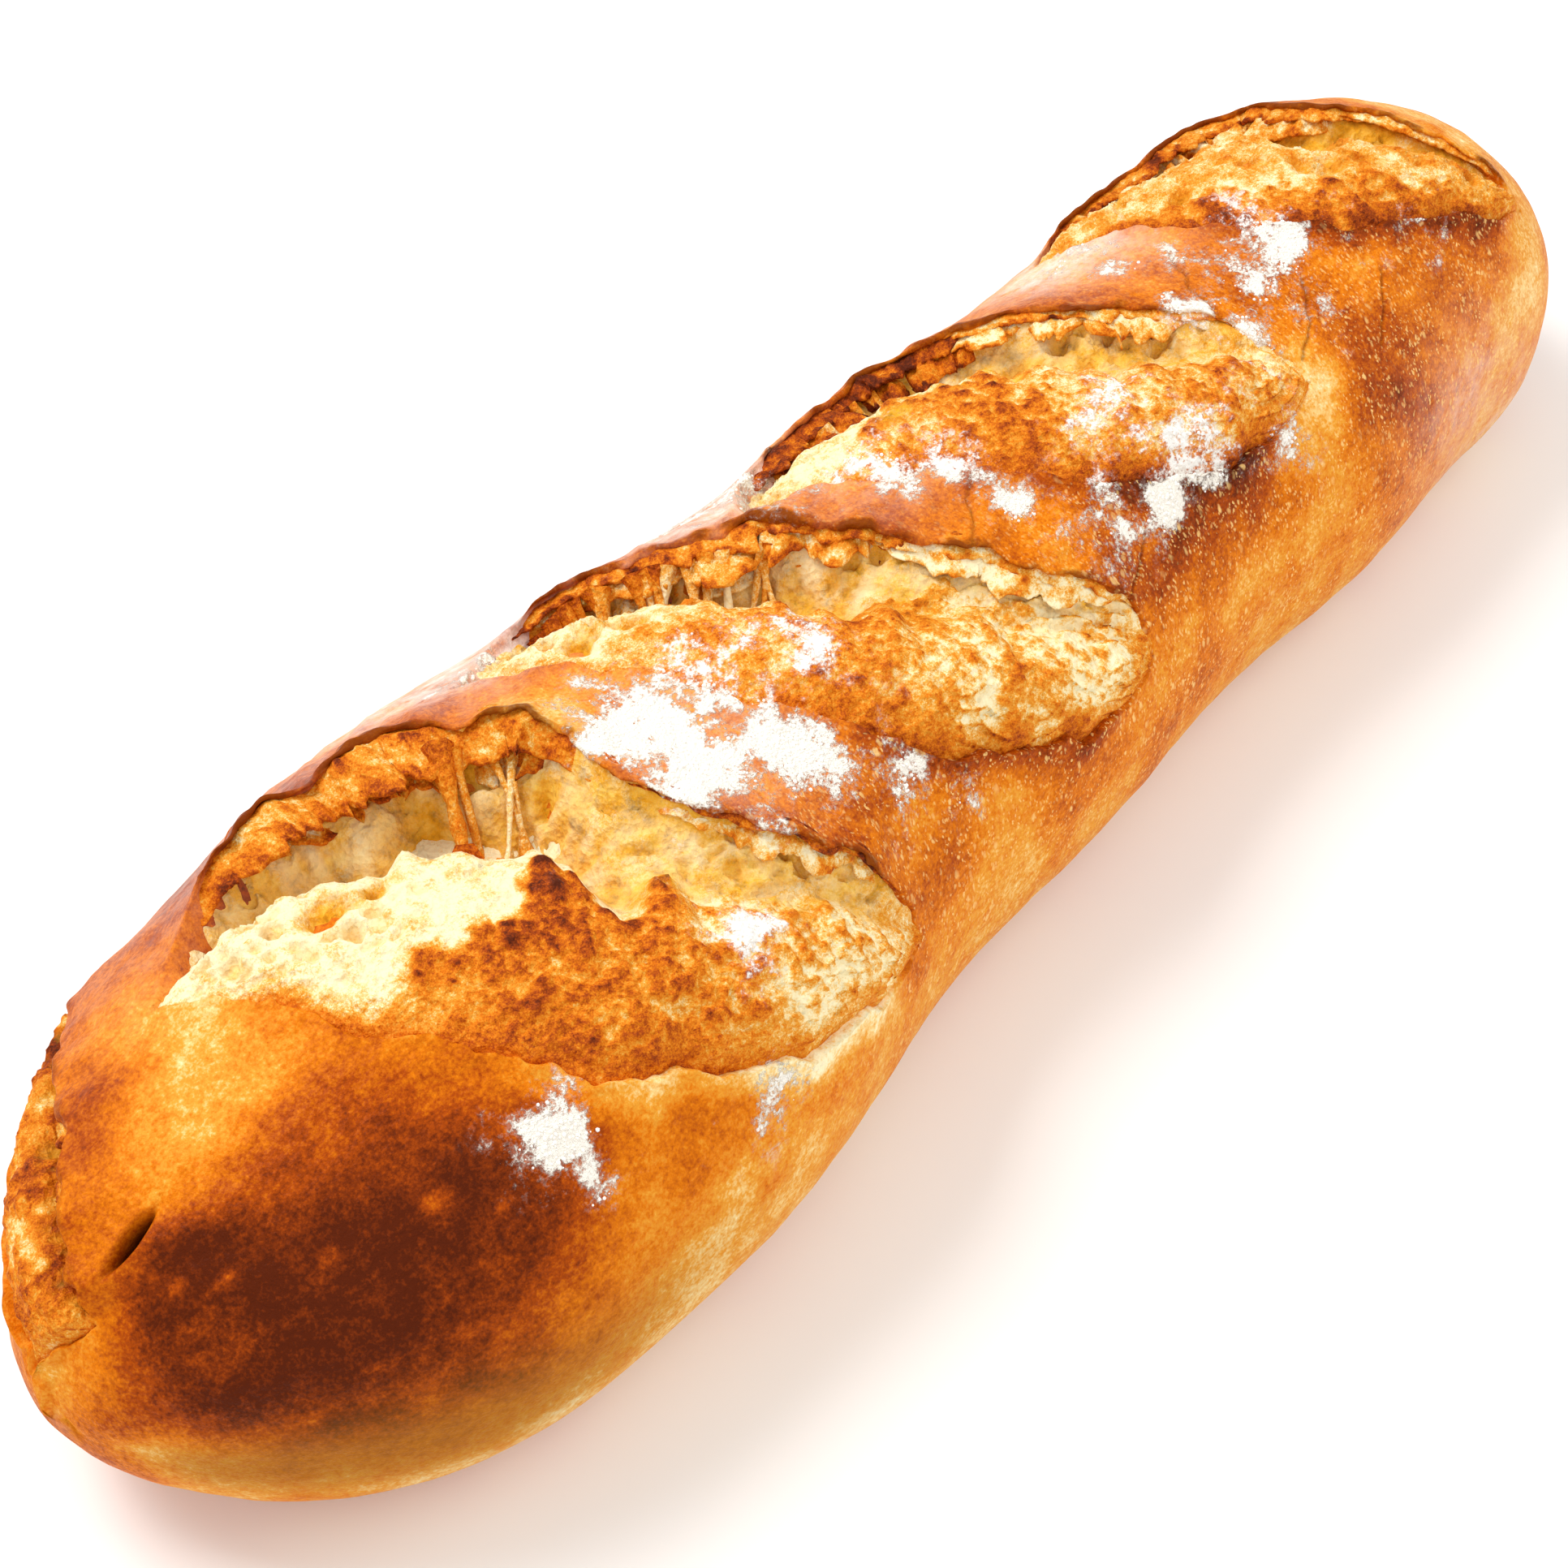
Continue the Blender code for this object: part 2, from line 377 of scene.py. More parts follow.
    def crumb_base(self, place: Place, wave: Array) -> Array:
        """The crumb's height without its crags: a mound, a crevice and a wall up to the lip.

        Args:
            place: where the points lie in the tear.
            wave: slow noise there.

        Returns:
            The height at each point.
        """
        strength, fade = self.strength(place.share), self.near_tip(place.share)
        across = place.across
        rise = self.mound * fade * np.sin(np.pi * np.clip(across / self.mound_end, 0.0, 1.0)) ** 1.05
        wall = (self.lip_height * strength - 1.5 * MM) * smooth_step(0.92, 1.0, across)
        lower = 0.45 * MM * np.exp(-np.maximum(place.in_rim, 0.0) / (2.5 * MM))
        return rise - self.valley_depth(place.share) * self.valley(across, wave) + wall - lower


TEARS = (
    Tear(
        "end", (-0.134, -0.052), (-0.173, 0.008), -0.004, 0.55, 0.026, 0.50, 0.0026, 0.0050, 0.0024, 0.0,
        plate=0.50, plate_right=0.50, crag=0.30, charred=0.50, layered=0.8, golden=0.50,
    ),
    Tear(
        "wide", (-0.139, -0.021), (-0.044, 0.060), 0.038, 0.40, 0.019, 0.50, 0.0058, 0.0120, 0.0032, 0.6,
        step=0.30, plate=0.43, plate_right=0.70, rim_toast=-0.42, blunt=0.35, layered=0.55, shelf=0.7,
        tip_fade=0.15, crevice_at=0.75, crevice_spread=0.13, mound_end=0.74, pale_until=0.40, fairer=0.34,
        plate_from=0.15, plate_to=0.46, crag=0.60, browner=0.15,
    ),
    Tear(
        "second", (-0.069, -0.026), (0.024, 0.053), 0.030, 0.27, 0.020, 0.65, 0.0036, 0.0085, 0.0032, 0.5,
        plate=0.46, plate_right=0.82, crag=0.38, rim_toast=0.22, blunt=0.45, layered=1.1, shelf=0.6,
        crevice_at=0.74, crevice_spread=0.17, mound_end=0.70, pale_until=0.46, fairer=0.12, golden=0.05,
        tip_fade=0.15,
    ),
    Tear(
        "third", (-0.016, -0.021), (0.083, 0.032), 0.038, 0.37, 0.016, 0.70, 0.0038, 0.0085, 0.0034, 0.6,
        plate=0.50, plate_right=0.66, crag=0.36, rim_toast=0.30, blunt=0.35, layered=0.6, shelf=0.3,
        crevice_at=0.78, crevice_spread=0.14, mound_end=0.72, fairer=0.04, golden=0.03, tip_fade=0.20,
    ),
    Tear(
        "far", (0.076, -0.035), (0.156, 0.038), 0.038, 0.42, 0.011, 0.50, 0.0024, 0.0070, 0.0026, 0.6,
        step=0.18, plate=0.22, plate_right=0.30, crag=0.45, rim_toast=0.36, blunt=0.25, layered=0.35,
        golden=0.20, fairer=0.08,
    ),
)


@dataclass(frozen=True)
class Crack:
    """A hairline crack in the crust, through places given as (x, length round the crust)."""

    points: tuple[tuple[float, float], ...]
    width: float = 0.00035
    depth: float = 0.0005

    def distance(self, x: Array, arc: Array, wander: Array) -> Array:
        """Distance from the crack, which wanders a little.

        Args:
            x: places along the loaf.
            arc: lengths round it.
            wander: how far the crack strays at each place.

        Returns:
            The distance of each place.
        """
        near = np.full_like(x, 1.0)
        for (x0, a0), (x1, a1) in zip(self.points, self.points[1:]):
            span_x, span_a = x1 - x0, a1 - a0
            length = np.hypot(span_x, span_a)
            along = np.clip(((x - x0) * span_x + (arc - a0) * span_a) / length**2, 0.0, 1.0)
            off_x = x - x0 - along * span_x + wander * span_a / length
            off_a = arc - a0 - along * span_a - wander * span_x / length
            near = np.minimum(near, np.hypot(off_x, off_a))
        return near


CRACKS = (
    Crack(((0.019, 0.002), (0.012, 0.007), (0.006, 0.0135))),
    Crack(((0.034, 0.033), (0.022, 0.0405))),
    Crack(((0.098, 0.016), (0.092, 0.023), (0.085, 0.028))),
    Crack(((0.113, 0.025), (0.108, 0.031), (0.102, 0.036))),
    Crack(((0.087, -0.006), (0.080, 0.004), (0.078, 0.012))),
    Crack(((-0.002, -0.031), (-0.006, -0.022), (-0.010, -0.013))),
)


@dataclass(frozen=True)
class Slit:
    """A short gash with pointed ends, at (x, length round the crust)."""

    x: float
    arc: float
    half_length: float
    half_width: float
    slant: float
    depth: float

    def at(self, x: Array, arc: Array) -> Array:
        """How deep in the slit each place is.

        Args:
            x: places along the loaf.
            arc: lengths round it.

        Returns:
            1 in the slit and 0 outside it.
        """
        along = (x - self.x) * np.cos(self.slant) + (arc - self.arc) * np.sin(self.slant)
        across = (arc - self.arc) * np.cos(self.slant) - (x - self.x) * np.sin(self.slant)
        far = np.abs(along / self.half_length) ** 1.5 + np.abs(across / self.half_width) ** 1.5
        return np.exp(-(far**1.6))


SLIT = Slit(-0.1636, 0.0036, 0.0032, 0.0014, -0.08, 0.0060)


@dataclass(frozen=True)
class Cavity:
    """A gas bubble that the tear cut open, at (x, length round the crust)."""

    tear: str
    x: float
    arc: float
    along: float
    across: float
    depth: float

    def at(self, x: Array, arc: Array) -> Array:
        """1 in the cavity and 0 outside it, with steep sides."""
        far = ((x - self.x) / self.along) ** 2 + ((arc - self.arc) / self.across) ** 2
        return np.exp(-(far**1.6))


CAVITIES = (
    Cavity("wide", -0.1149, -0.0073, 0.0040, 0.0022, 0.0035),
    Cavity("wide", -0.1080, -0.0050, 0.0020, 0.0014, 0.0022),
    Cavity("wide", -0.0802, -0.0139, 0.0022, 0.0020, 0.0035),
    Cavity("wide", -0.0747, -0.0037, 0.0016, 0.0014, 0.0028),
    Cavity("wide", -0.0880, -0.0160, 0.0026, 0.0018, 0.0030),
    Cavity("second", -0.0520, -0.0170, 0.0022, 0.0018, 0.0030),
    Cavity("second", -0.0430, -0.0140, 0.0026, 0.0016, 0.0030),
    Cavity("second", -0.0330, -0.0110, 0.0018, 0.0014, 0.0024),
    Cavity("third", 0.0200, -0.0141, 0.0030, 0.0020, 0.0040),
    Cavity("third", 0.0390, -0.0095, 0.0012, 0.0010, 0.0022),
    Cavity("third", 0.0407, -0.0047, 0.0012, 0.0010, 0.0022),
    Cavity("third", 0.0330, -0.0110, 0.0016, 0.0012, 0.0024),
    Cavity("far", 0.1002, -0.0134, 0.0024, 0.0014, 0.0026),
    Cavity("far", 0.1315, -0.0005, 0.0024, 0.0012, 0.0026),
)


@dataclass(frozen=True)
class Patch:
    """A soft oval on the crust, at (x, length round the crust), that holds flour or colour."""

    x: float
    arc: float
    along: float
    around: float
    amount: float

    def at(self, x: Array, arc: Array) -> Array:
        """The patch's amount at each place."""
        far = ((x - self.x) / self.along) ** 2 + ((arc - self.arc) / self.around) ** 2
        return self.amount * np.exp(-far)


FLOUR = (
    Patch(-0.006, -0.034, 0.016, 0.012, 0.52),
    Patch(0.004, -0.016, 0.012, 0.008, 0.54),
    Patch(-0.053, 0.010, 0.018, 0.016, 0.50),
    Patch(0.042, 0.026, 0.022, 0.010, 0.45),
    Patch(0.095, 0.008, 0.018, 0.016, 0.40),
    Patch(0.080, -0.022, 0.008, 0.010, 0.45),
    Patch(-0.062, -0.030, 0.010, 0.007, 0.42),
    Patch(-0.060, 0.002, 0.008, 0.009, 1.3),
    Patch(-0.061, 0.011, 0.007, 0.006, 1.1),
    Patch(-0.047, 0.017, 0.006, 0.008, 1.1),
    Patch(-0.045, 0.024, 0.006, 0.006, 0.8),
    Patch(-0.034, 0.034, 0.006, 0.007, 0.55),
    Patch(-0.024, 0.046, 0.004, 0.005, 0.45),
    Patch(-0.117, 0.034, 0.006, 0.006, 0.95),
    Patch(-0.116, 0.041, 0.004, 0.005, 0.75),
    Patch(-0.086, 0.050, 0.007, 0.007, 0.5),
    Patch(-0.075, 0.031, 0.007, 0.007, 0.6),
    Patch(-0.046, 0.000, 0.010, 0.007, 0.75),
    Patch(-0.030, 0.008, 0.006, 0.006, 0.75),
    Patch(0.009, -0.006, 0.006, 0.007, 0.8),
    Patch(0.016, 0.002, 0.005, 0.006, 0.95),
    Patch(0.017, 0.013, 0.0035, 0.004, 1.0),
    Patch(0.033, 0.022, 0.005, 0.005, 0.75),
    Patch(0.041, 0.029, 0.005, 0.006, 0.95),
    Patch(0.052, 0.030, 0.006, 0.006, 0.75),
    Patch(0.071, 0.038, 0.006, 0.006, 0.65),
    Patch(0.045, 0.011, 0.010, 0.006, 0.75),
    Patch(0.074, 0.008, 0.006, 0.006, 1.0),
    Patch(0.078, 0.018, 0.005, 0.007, 0.95),
    Patch(0.102, 0.007, 0.008, 0.007, 0.8),
    Patch(0.089, 0.011, 0.004, 0.005, 0.7),
    Patch(0.078, -0.011, 0.003, 0.004, 0.85),
    Patch(0.098, 0.022, 0.003, 0.003, 0.8),
    Patch(0.128, 0.026, 0.006, 0.006, 0.4),
)

# Pale pinkish haze: partly a thin film of flour, partly painted sheen on the shoulders that face the light.
HAZE_AND_SHEEN = (
    Patch(-0.062, -0.040, 0.018, 0.013, 2.4),
    Patch(-0.006, -0.036, 0.017, 0.013, 2.4),
    Patch(0.080, -0.028, 0.014, 0.012, 1.8),
    Patch(-0.056, 0.008, 0.014, 0.014, 0.22),
    Patch(0.008, -0.010, 0.014, 0.012, 0.30),
    Patch(-0.110, -0.036, 0.030, 0.018, 0.24),
    Patch(0.086, -0.010, 0.012, 0.010, 0.12),
    Patch(0.128, 0.062, 0.020, 0.014, 0.45),
    Patch(0.140, 0.084, 0.030, 0.010, 0.40),
)

BROWN = (
    Patch(-0.150, 0.040, 0.033, 0.027, 0.28),
    Patch(-0.157, 0.043, 0.020, 0.020, 0.10),
    Patch(-0.136, 0.032, 0.018, 0.015, 0.14),
    Patch(-0.1620, 0.0115, 0.007, 0.008, 0.24),
    Patch(-0.1700, 0.0180, 0.006, 0.008, 0.12),
    Patch(-0.160, 0.021, 0.013, 0.013, 0.20),
    Patch(-0.168, 0.046, 0.014, 0.018, 0.14),
    Patch(-0.152, 0.062, 0.024, 0.013, 0.20),
    Patch(-0.178, 0.066, 0.012, 0.012, -0.20),
    Patch(-0.177, 0.012, 0.008, 0.018, -0.20),
    Patch(-0.153, -0.022, 0.004, 0.006, 0.16),
    Patch(-0.158, -0.014, 0.004, 0.005, 0.14),
    Patch(-0.146, 0.000, 0.012, 0.010, -0.20),
    Patch(-0.134, -0.012, 0.008, 0.009, -0.30),
    Patch(0.032, 0.040, 0.016, 0.010, 0.22),
    Patch(0.056, 0.040, 0.014, 0.012, 0.26),
    Patch(0.092, 0.038, 0.014, 0.010, 0.18),
    Patch(0.134, 0.036, 0.018, 0.010, 0.14),
    Patch(0.030, 0.066, 0.010, 0.012, 0.10),
    Patch(0.104, 0.052, 0.010, 0.014, 0.10),
    Patch(-0.114, -0.032, 0.026, 0.014, 0.12),
    Patch(-0.060, 0.020, 0.020, 0.016, -0.06),
    Patch(-0.069, -0.009, 0.008, 0.009, -0.38),
    Patch(0.083, 0.034, 0.008, 0.010, -0.38),
    Patch(0.074, 0.046, 0.006, 0.016, -0.14),
    Patch(-0.020, 0.058, 0.008, 0.018, -0.12),
    Patch(0.020, 0.058, 0.010, 0.006, -0.10),
    Patch(0.150, 0.050, 0.012, 0.020, -0.14),
    Patch(0.158, 0.010, 0.016, 0.040, -0.24),
    Patch(0.078, -0.030, 0.010, 0.008, -0.15),
    Patch(-0.095, 0.070, 0.050, 0.012, -0.13),
    Patch(-0.125, 0.086, 0.050, 0.012, -0.08),
    Patch(0.060, 0.080, 0.080, 0.014, 0.08),
)

# Painted shade: olive-brown darkening low on the near end, where the belly gets less light.
PAINTED_SHADE_PATCHES = (
    Patch(-0.150, 0.073, 0.024, 0.011, 0.85),
    Patch(-0.122, 0.070, 0.026, 0.010, 0.60),
    Patch(-0.171, 0.072, 0.014, 0.012, 0.55),
)

BLISTERS = (
    Patch(-0.1345, 0.0313, 0.0016, 0.0013, 0.45),
    Patch(-0.149, 0.029, 0.0014, 0.0018, 0.20),
    Patch(-0.1595, 0.022, 0.0022, 0.0012, 0.35),
    Patch(-0.164, 0.0167, 0.0014, 0.0022, 0.35),
    Patch(-0.134, 0.044, 0.0015, 0.0015, 0.20),
    Patch(-0.148, 0.038, 0.0014, 0.0012, 0.25),
    Patch(-0.162, 0.0575, 0.0016, 0.0013, 0.30),
    Patch(-0.142, 0.051, 0.0012, 0.0014, 0.20),
    Patch(-0.153, 0.050, 0.0010, 0.0010, 0.22),
    Patch(-0.157, 0.034, 0.0011, 0.0015, 0.25),
    Patch(-0.128, 0.037, 0.0010, 0.0010, 0.18),
)


class SurfaceMesh:
    """Builds mesh objects with named values at their points."""

    @staticmethod
    def make(name: str, points: Array, faces: Faces, values: dict[str, Array]) -> bpy.types.Object:
        """Makes a smooth mesh object.

        Args:
            name: the object's name.
            points: one row for each vertex.
            faces: vertex indices of each face.
            values: named numbers, one for each vertex.

        Returns:
            The object, linked to the scene.
        """
        mesh = bpy.data.meshes.new(name)
        mesh.from_pydata(points.tolist(), [], faces)
        for label, numbers in values.items():
            layer = mesh.attributes.new(label, "FLOAT", "POINT")
            layer.data.foreach_set("value", np.ascontiguousarray(numbers, dtype=np.float32))
        mesh.shade_smooth()
        mesh.update()
        piece = bpy.data.objects.new(name, mesh)
        bpy.context.scene.collection.objects.link(piece)
        return piece


@dataclass
class Crust:
    """The browned skin of the whole loaf, closed, and sunk under the crumb of every tear."""

    body: LoafBody
    rings: int = 232
    points_round: int = 176
    ring_lean: float = 0.040
    crest_crowding: float = 0.35
    fine_reach: float = 0.0042
    finest_reach: float = 0.0016
    crack_fine_reach: float = 0.0016
    crack_finest_reach: float = 0.0010
    ripple_height: float = 0.00022
    ripple_size: float = 0.009
    lip_reach: float = 0.011
    lip_curl: float = 0.0010
    lip_thickness: float = 0.0010
    rim_height: float = 0.0016
    rim_reach: float = 0.0042
    rim_fall: float = 0.0013
    sink: float = 0.0038
    edge_run: float = 0.0012
    undercut: float = 0.0015
    char_inside: float = 0.0016
    char_outside: float = 0.0011
    brown_lip_reach: float = 0.006
    brown_rim_reach: float = 0.004
    slit_swelling: float = 0.0005
    slit_swelling_reach: float = 0.004

    def build(self) -> tuple[bpy.types.Object, Array]:
        """Makes the crust.

        Returns:
            Its object, and the shift that set it on the solid's box.
        """
        x, angle, faces, edges = self._net()
        for tear in TEARS:
            self._snap(tear, x, angle, edges)
        points, values = self._bake(x, angle)
        low, high = np.array(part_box(NODE))
        middle = (points.min(axis=0) + points.max(axis=0)) / 2
        shift = np.array([(low[0] + high[0]) / 2 - middle[0], (low[1] + high[1]) / 2 - middle[1], 0.0])
        piece = SurfaceMesh.make("crust", points + shift, faces, values)
        return piece, shift

    def _net(self) -> tuple[Array, Array, Faces, Array]:
        """A sphere's rings and columns, made finer near every edge and crack.

        Returns:
            x and angle of each vertex, the triangles and the mesh edges.
        """
        shape = bmesh.new()
        bmesh.ops.create_uvsphere(shape, u_segments=self.points_round, v_segments=self.rings, radius=1.0)
        unit = np.array([vertex.co for vertex in shape.verts])
        turned = np.arctan2(unit[:, 0], unit[:, 1])
        angle = turned - self.crest_crowding * np.sin(turned)
        half = self.body.length / 2
        fine = np.linspace(-half, half, 2001)
        density = 1.0 + 2.0 * np.exp(-(half - np.abs(fine)) / 0.014)
        counted = np.concatenate([[0.0], np.cumsum((density[1:] + density[:-1]) / 2)])
        station = np.interp(np.arccos(np.clip(-unit[:, 2], -1.0, 1.0)) / np.pi, counted / counted[-1], fine)
        x = station + self.ring_lean * np.sin(angle) * (1.0 - (station / half) ** 2)
        x_layer = shape.verts.layers.float.new("x")
        angle_layer = shape.verts.layers.float.new("angle")
        for vertex, at_x, at_angle, co in zip(shape.verts, x, angle, self.body.point(x, angle)):
            vertex[x_layer], vertex[angle_layer], vertex.co = at_x, at_angle, co
        bmesh.ops.triangulate(shape, faces=shape.faces, quad_method="SHORT_EDGE")
        self._refine(shape, x_layer, angle_layer, self.fine_reach, self.crack_fine_reach)
        self._refine(shape, x_layer, angle_layer, self.finest_reach, self.crack_finest_reach)
        x = np.array([vertex[x_layer] for vertex in shape.verts])
        angle = np.array([vertex[angle_layer] for vertex in shape.verts])
        shape.verts.index_update()
        faces = [[vertex.index for vertex in reversed(face.verts)] for face in shape.faces]
        edges = np.array([[vertex.index for vertex in edge.verts] for edge in shape.edges])
        shape.free()
        return x, angle, faces, edges[np.abs(angle[edges[:, 0]] - angle[edges[:, 1]]) < 1.0]

    def _refine(
        self,
        shape: bmesh.types.BMesh,
        x_layer: bmesh.types.BMLayerItem,
        angle_layer: bmesh.types.BMLayerItem,
        reach: float,
        crack_reach: float,
    ) -> None:
        """Halves the mesh edges that lie near a tear's edge or a crack.

        Args:
            shape: the net, which is changed.
            x_layer: where its vertices keep their x.
            angle_layer: where they keep their angle.
            reach: how near a tear's edge counts as near.
            crack_reach: the same for a crack.
        """
        x = np.array([vertex[x_layer] for vertex in shape.verts])
        angle = np.array([vertex[angle_layer] for vertex in shape.verts])
        near = np.zeros(len(x), dtype=bool)
        for tear in TEARS:
            place = tear.place(x, angle)
            near |= (np.abs(place.depth) < reach) & (np.abs(place.share - 0.5) < 0.54)
        for crack in CRACKS:
            near |= crack.distance(x, angle * GIRTH, np.zeros_like(x)) < crack_reach + crack.width
        near |= SLIT.at(x, angle * GIRTH) > 0.01
        shape.verts.index_update()
        picked = [edge for edge in shape.edges if near[edge.verts[0].index] or near[edge.verts[1].index]]
        bmesh.ops.subdivide_edges(shape, edges=picked, cuts=1, use_grid_fill=True)
        bmesh.ops.triangulate(shape, faces=shape.faces, quad_method="SHORT_EDGE")

    def _ragged(self, tear: Tear, x: Array, angle: Array, depth: Array) -> Array:
        """How far the tear's edge wanders from its smooth line.

        Args:
            tear: the tear.
            x: places along the loaf.
            angle: angles round it.
            depth: distances inside the tear.

        Returns:
            The distance at each place near the edge, and 0 elsewhere.
        """
        offset = np.zeros_like(x)
        near = np.abs(depth) < 0.006
        points = self.body.point(x[near], angle[near])
        offset[near] = tear.ragged * (lumps(points, 0.006) + 0.7 * lumps(points, 0.0023))
        return offset

    def _snap(self, tear: Tear, x: Array, angle: Array, edges: Array) -> None:
        """Moves the nearer end of each mesh edge that crosses a tear's edge onto it.

        Args:
            tear: the tear.
            x: x of each vertex, which is changed.
            angle: angle of each vertex, which is changed.
            edges: the vertices of each mesh edge.
        """
        for _ in range(3):
            depth = tear.place(x, angle).depth
            depth = depth + self._ragged(tear, x, angle, depth)
            depth[np.abs(depth) < 2e-5] = 0.0
            first, second = edges[depth[edges[:, 0]] * depth[edges[:, 1]] < 0].T
            share = depth[first] / (depth[first] - depth[second])
            mover = np.where(share < 0.5, first, second)
            meet_x = x[first] + share * (x[second] - x[first])
            meet_angle = angle[first] + share * (angle[second] - angle[first])
            for index in np.argsort(-np.minimum(share, 1.0 - share)):
                x[mover[index]], angle[mover[index]] = meet_x[index], meet_angle[index]

    def _bake(self, x: Array, angle: Array) -> tuple[Array, dict[str, Array]]:
        """Gives the skin its relief and the values that its finish reads.

        Args:
            x: places along the loaf.
            angle: angles round it.

        Returns:
            The points, and named values for each of them.
        """
        arc = angle * GIRTH
        plain = self.body.point(x, angle)
        outward, along, around = self.body.frame_at(x, angle)
        height = self.body.unevenness(plain) + self.ripple_height * lumps(plain, self.ripple_size, 2)
        moved = np.zeros_like(plain)
        lip_mask, browner = np.zeros_like(x), np.zeros_like(x)
        for tear in TEARS:
            rise, slide, dark, brown = self._relief(tear, x, angle, plain)
            place = tear.place(x, angle)
            height = height + rise
            moved += slide[:, None] * (place.lip_x[:, None] * along + place.lip_arc[:, None] * around)
            lip_mask = np.maximum(lip_mask, dark)
            browner = browner + brown
        crack_mask = np.zeros_like(x)
        wander = 0.0009 * lumps(plain, 0.004) + 0.0003 * lumps(plain, 0.0012)
        for crack in CRACKS:
            groove = np.exp(-((crack.distance(x, arc, wander) / crack.width) ** 2))
            height = height - crack.depth * groove
            crack_mask = np.maximum(crack_mask, groove)
        slit = SLIT.at(x, arc)
        from_slit = ((x - SLIT.x) ** 2 + (arc - SLIT.arc) ** 2) / self.slit_swelling_reach**2
        height = height - SLIT.depth * slit + self.slit_swelling * np.exp(-from_slit)
        # The slit joins the cracks, which the finish darkens as painted shade inside them.
        crack_mask = np.maximum(crack_mask, 3.6 * slit)
        points = plain + outward * height[:, None] + moved
        points[:, 2] = np.maximum(points[:, 2], 0.0)
        values = Toasting.of_crust(x, angle, plain, lip_mask, crack_mask, browner)
        return points, values

    def _relief(self, tear: Tear, x: Array, angle: Array, plain: Array) -> tuple[Array, Array, Array, Array]:
        """What one tear does to the skin.

        Args:
            tear: the tear.
            x: places along the loaf.
            angle: angles round it.
            plain: the points of the plain loaf there.

        Returns:
            Height, slide over the lip, charring of the lip and extra browning, for each place.
        """
        place = tear.place(x, angle)
        wander = self._ragged(tear, x, angle, place.depth)
        in_lip, in_rim = place.in_lip + wander, place.in_rim + wander
        depth = np.minimum(in_lip, in_rim)
        inside = depth > 2e-5
        lip_side = in_lip < in_rim
        strength, fade = tear.strength(place.share), tear.near_tip(place.share)
        near = np.abs(depth) < 0.02
        chop = np.zeros_like(x)
        chop[near] = lumps(plain[near], LIP_NOISE, 2)
        lip_top = tear.lip_top(place.share, chop)
        past_lip, past_rim = np.maximum(-in_lip, 0.0), np.maximum(-in_rim, 0.0)
        crust_lip = lip_top * np.exp(-past_lip / self.lip_reach)
        crust_rim = self.rim_height * fade * np.exp(-past_rim / self.rim_reach) * (1.0 + 0.5 * chop)
        wave = np.zeros_like(x)
        wave[inside] = lumps(plain[inside], CRUMB_NOISE, 2)

        # Round the lip's edge, back under it and down to the floor that the crumb covers
        curl = self.lip_curl * strength * (1.0 + 0.4 * chop)
        edge_run = self.edge_run
        round_it = np.pi * np.clip(in_lip / edge_run, 0.0, 1.0)
        thick = self.lip_thickness * (0.35 + 0.65 * strength) * fade
        under = smooth_step(edge_run, edge_run + 1.6 * MM, in_lip)
        floor = smooth_step(edge_run + 1.2 * MM, edge_run + 4.0 * MM, in_lip)
        reach = curl + 0.5 * thick * np.sin(round_it)
        reach = reach * (1.0 - under) - 0.6 * MM * under
        reach = reach * (1.0 - floor) + in_lip * floor
        sunk = tear.crumb_base(place, wave) - np.minimum(self.sink, 1.0 * np.maximum(depth, 0.0) + 1.2 * MM)
        below = lip_top - 0.5 * thick * (1.0 - np.cos(round_it)) - self.undercut * under
        lip_inside = np.minimum(below * (1.0 - floor) + sunk * floor, below)
        fallen = smooth_step(0.0, self.rim_fall, in_rim)
        rim_inside = self.rim_height * fade * (1.0 - fallen) + sunk * fallen
        height_inside = np.where(lip_side, lip_inside, rim_inside)
        height_outside = np.where(lip_side, crust_lip, crust_rim)
        height = np.where(inside, height_inside, height_outside)
        slide_in = np.where(lip_side, in_lip - reach, 0.0) * fade
        slide_out = np.where(lip_side, -curl * np.exp(-past_lip / self.rim_reach), 0.0)
        slide = np.where(inside, slide_in, slide_out)
        char = tear.charred * (0.40 + 0.40 * strength + 1.1 * chop)
        band = np.where(in_lip > 0.0, self.char_inside, self.char_outside)
        dark = np.where(lip_side, (0.25 * inside + np.exp(-((in_lip / band) ** 2))) * char, 0.0)
        right = smooth_step(0.25, 0.6, place.share) * fade
        brown_lip = 0.12 * np.exp(-past_lip / self.brown_lip_reach) * tear.charred * fade
        brown_rim = tear.rim_toast * right * np.exp(-((past_rim / self.brown_rim_reach) ** 2))
        return height, slide, np.clip(dark, 0.0, 1.0) * fade, np.where(lip_side, brown_lip, brown_rim)


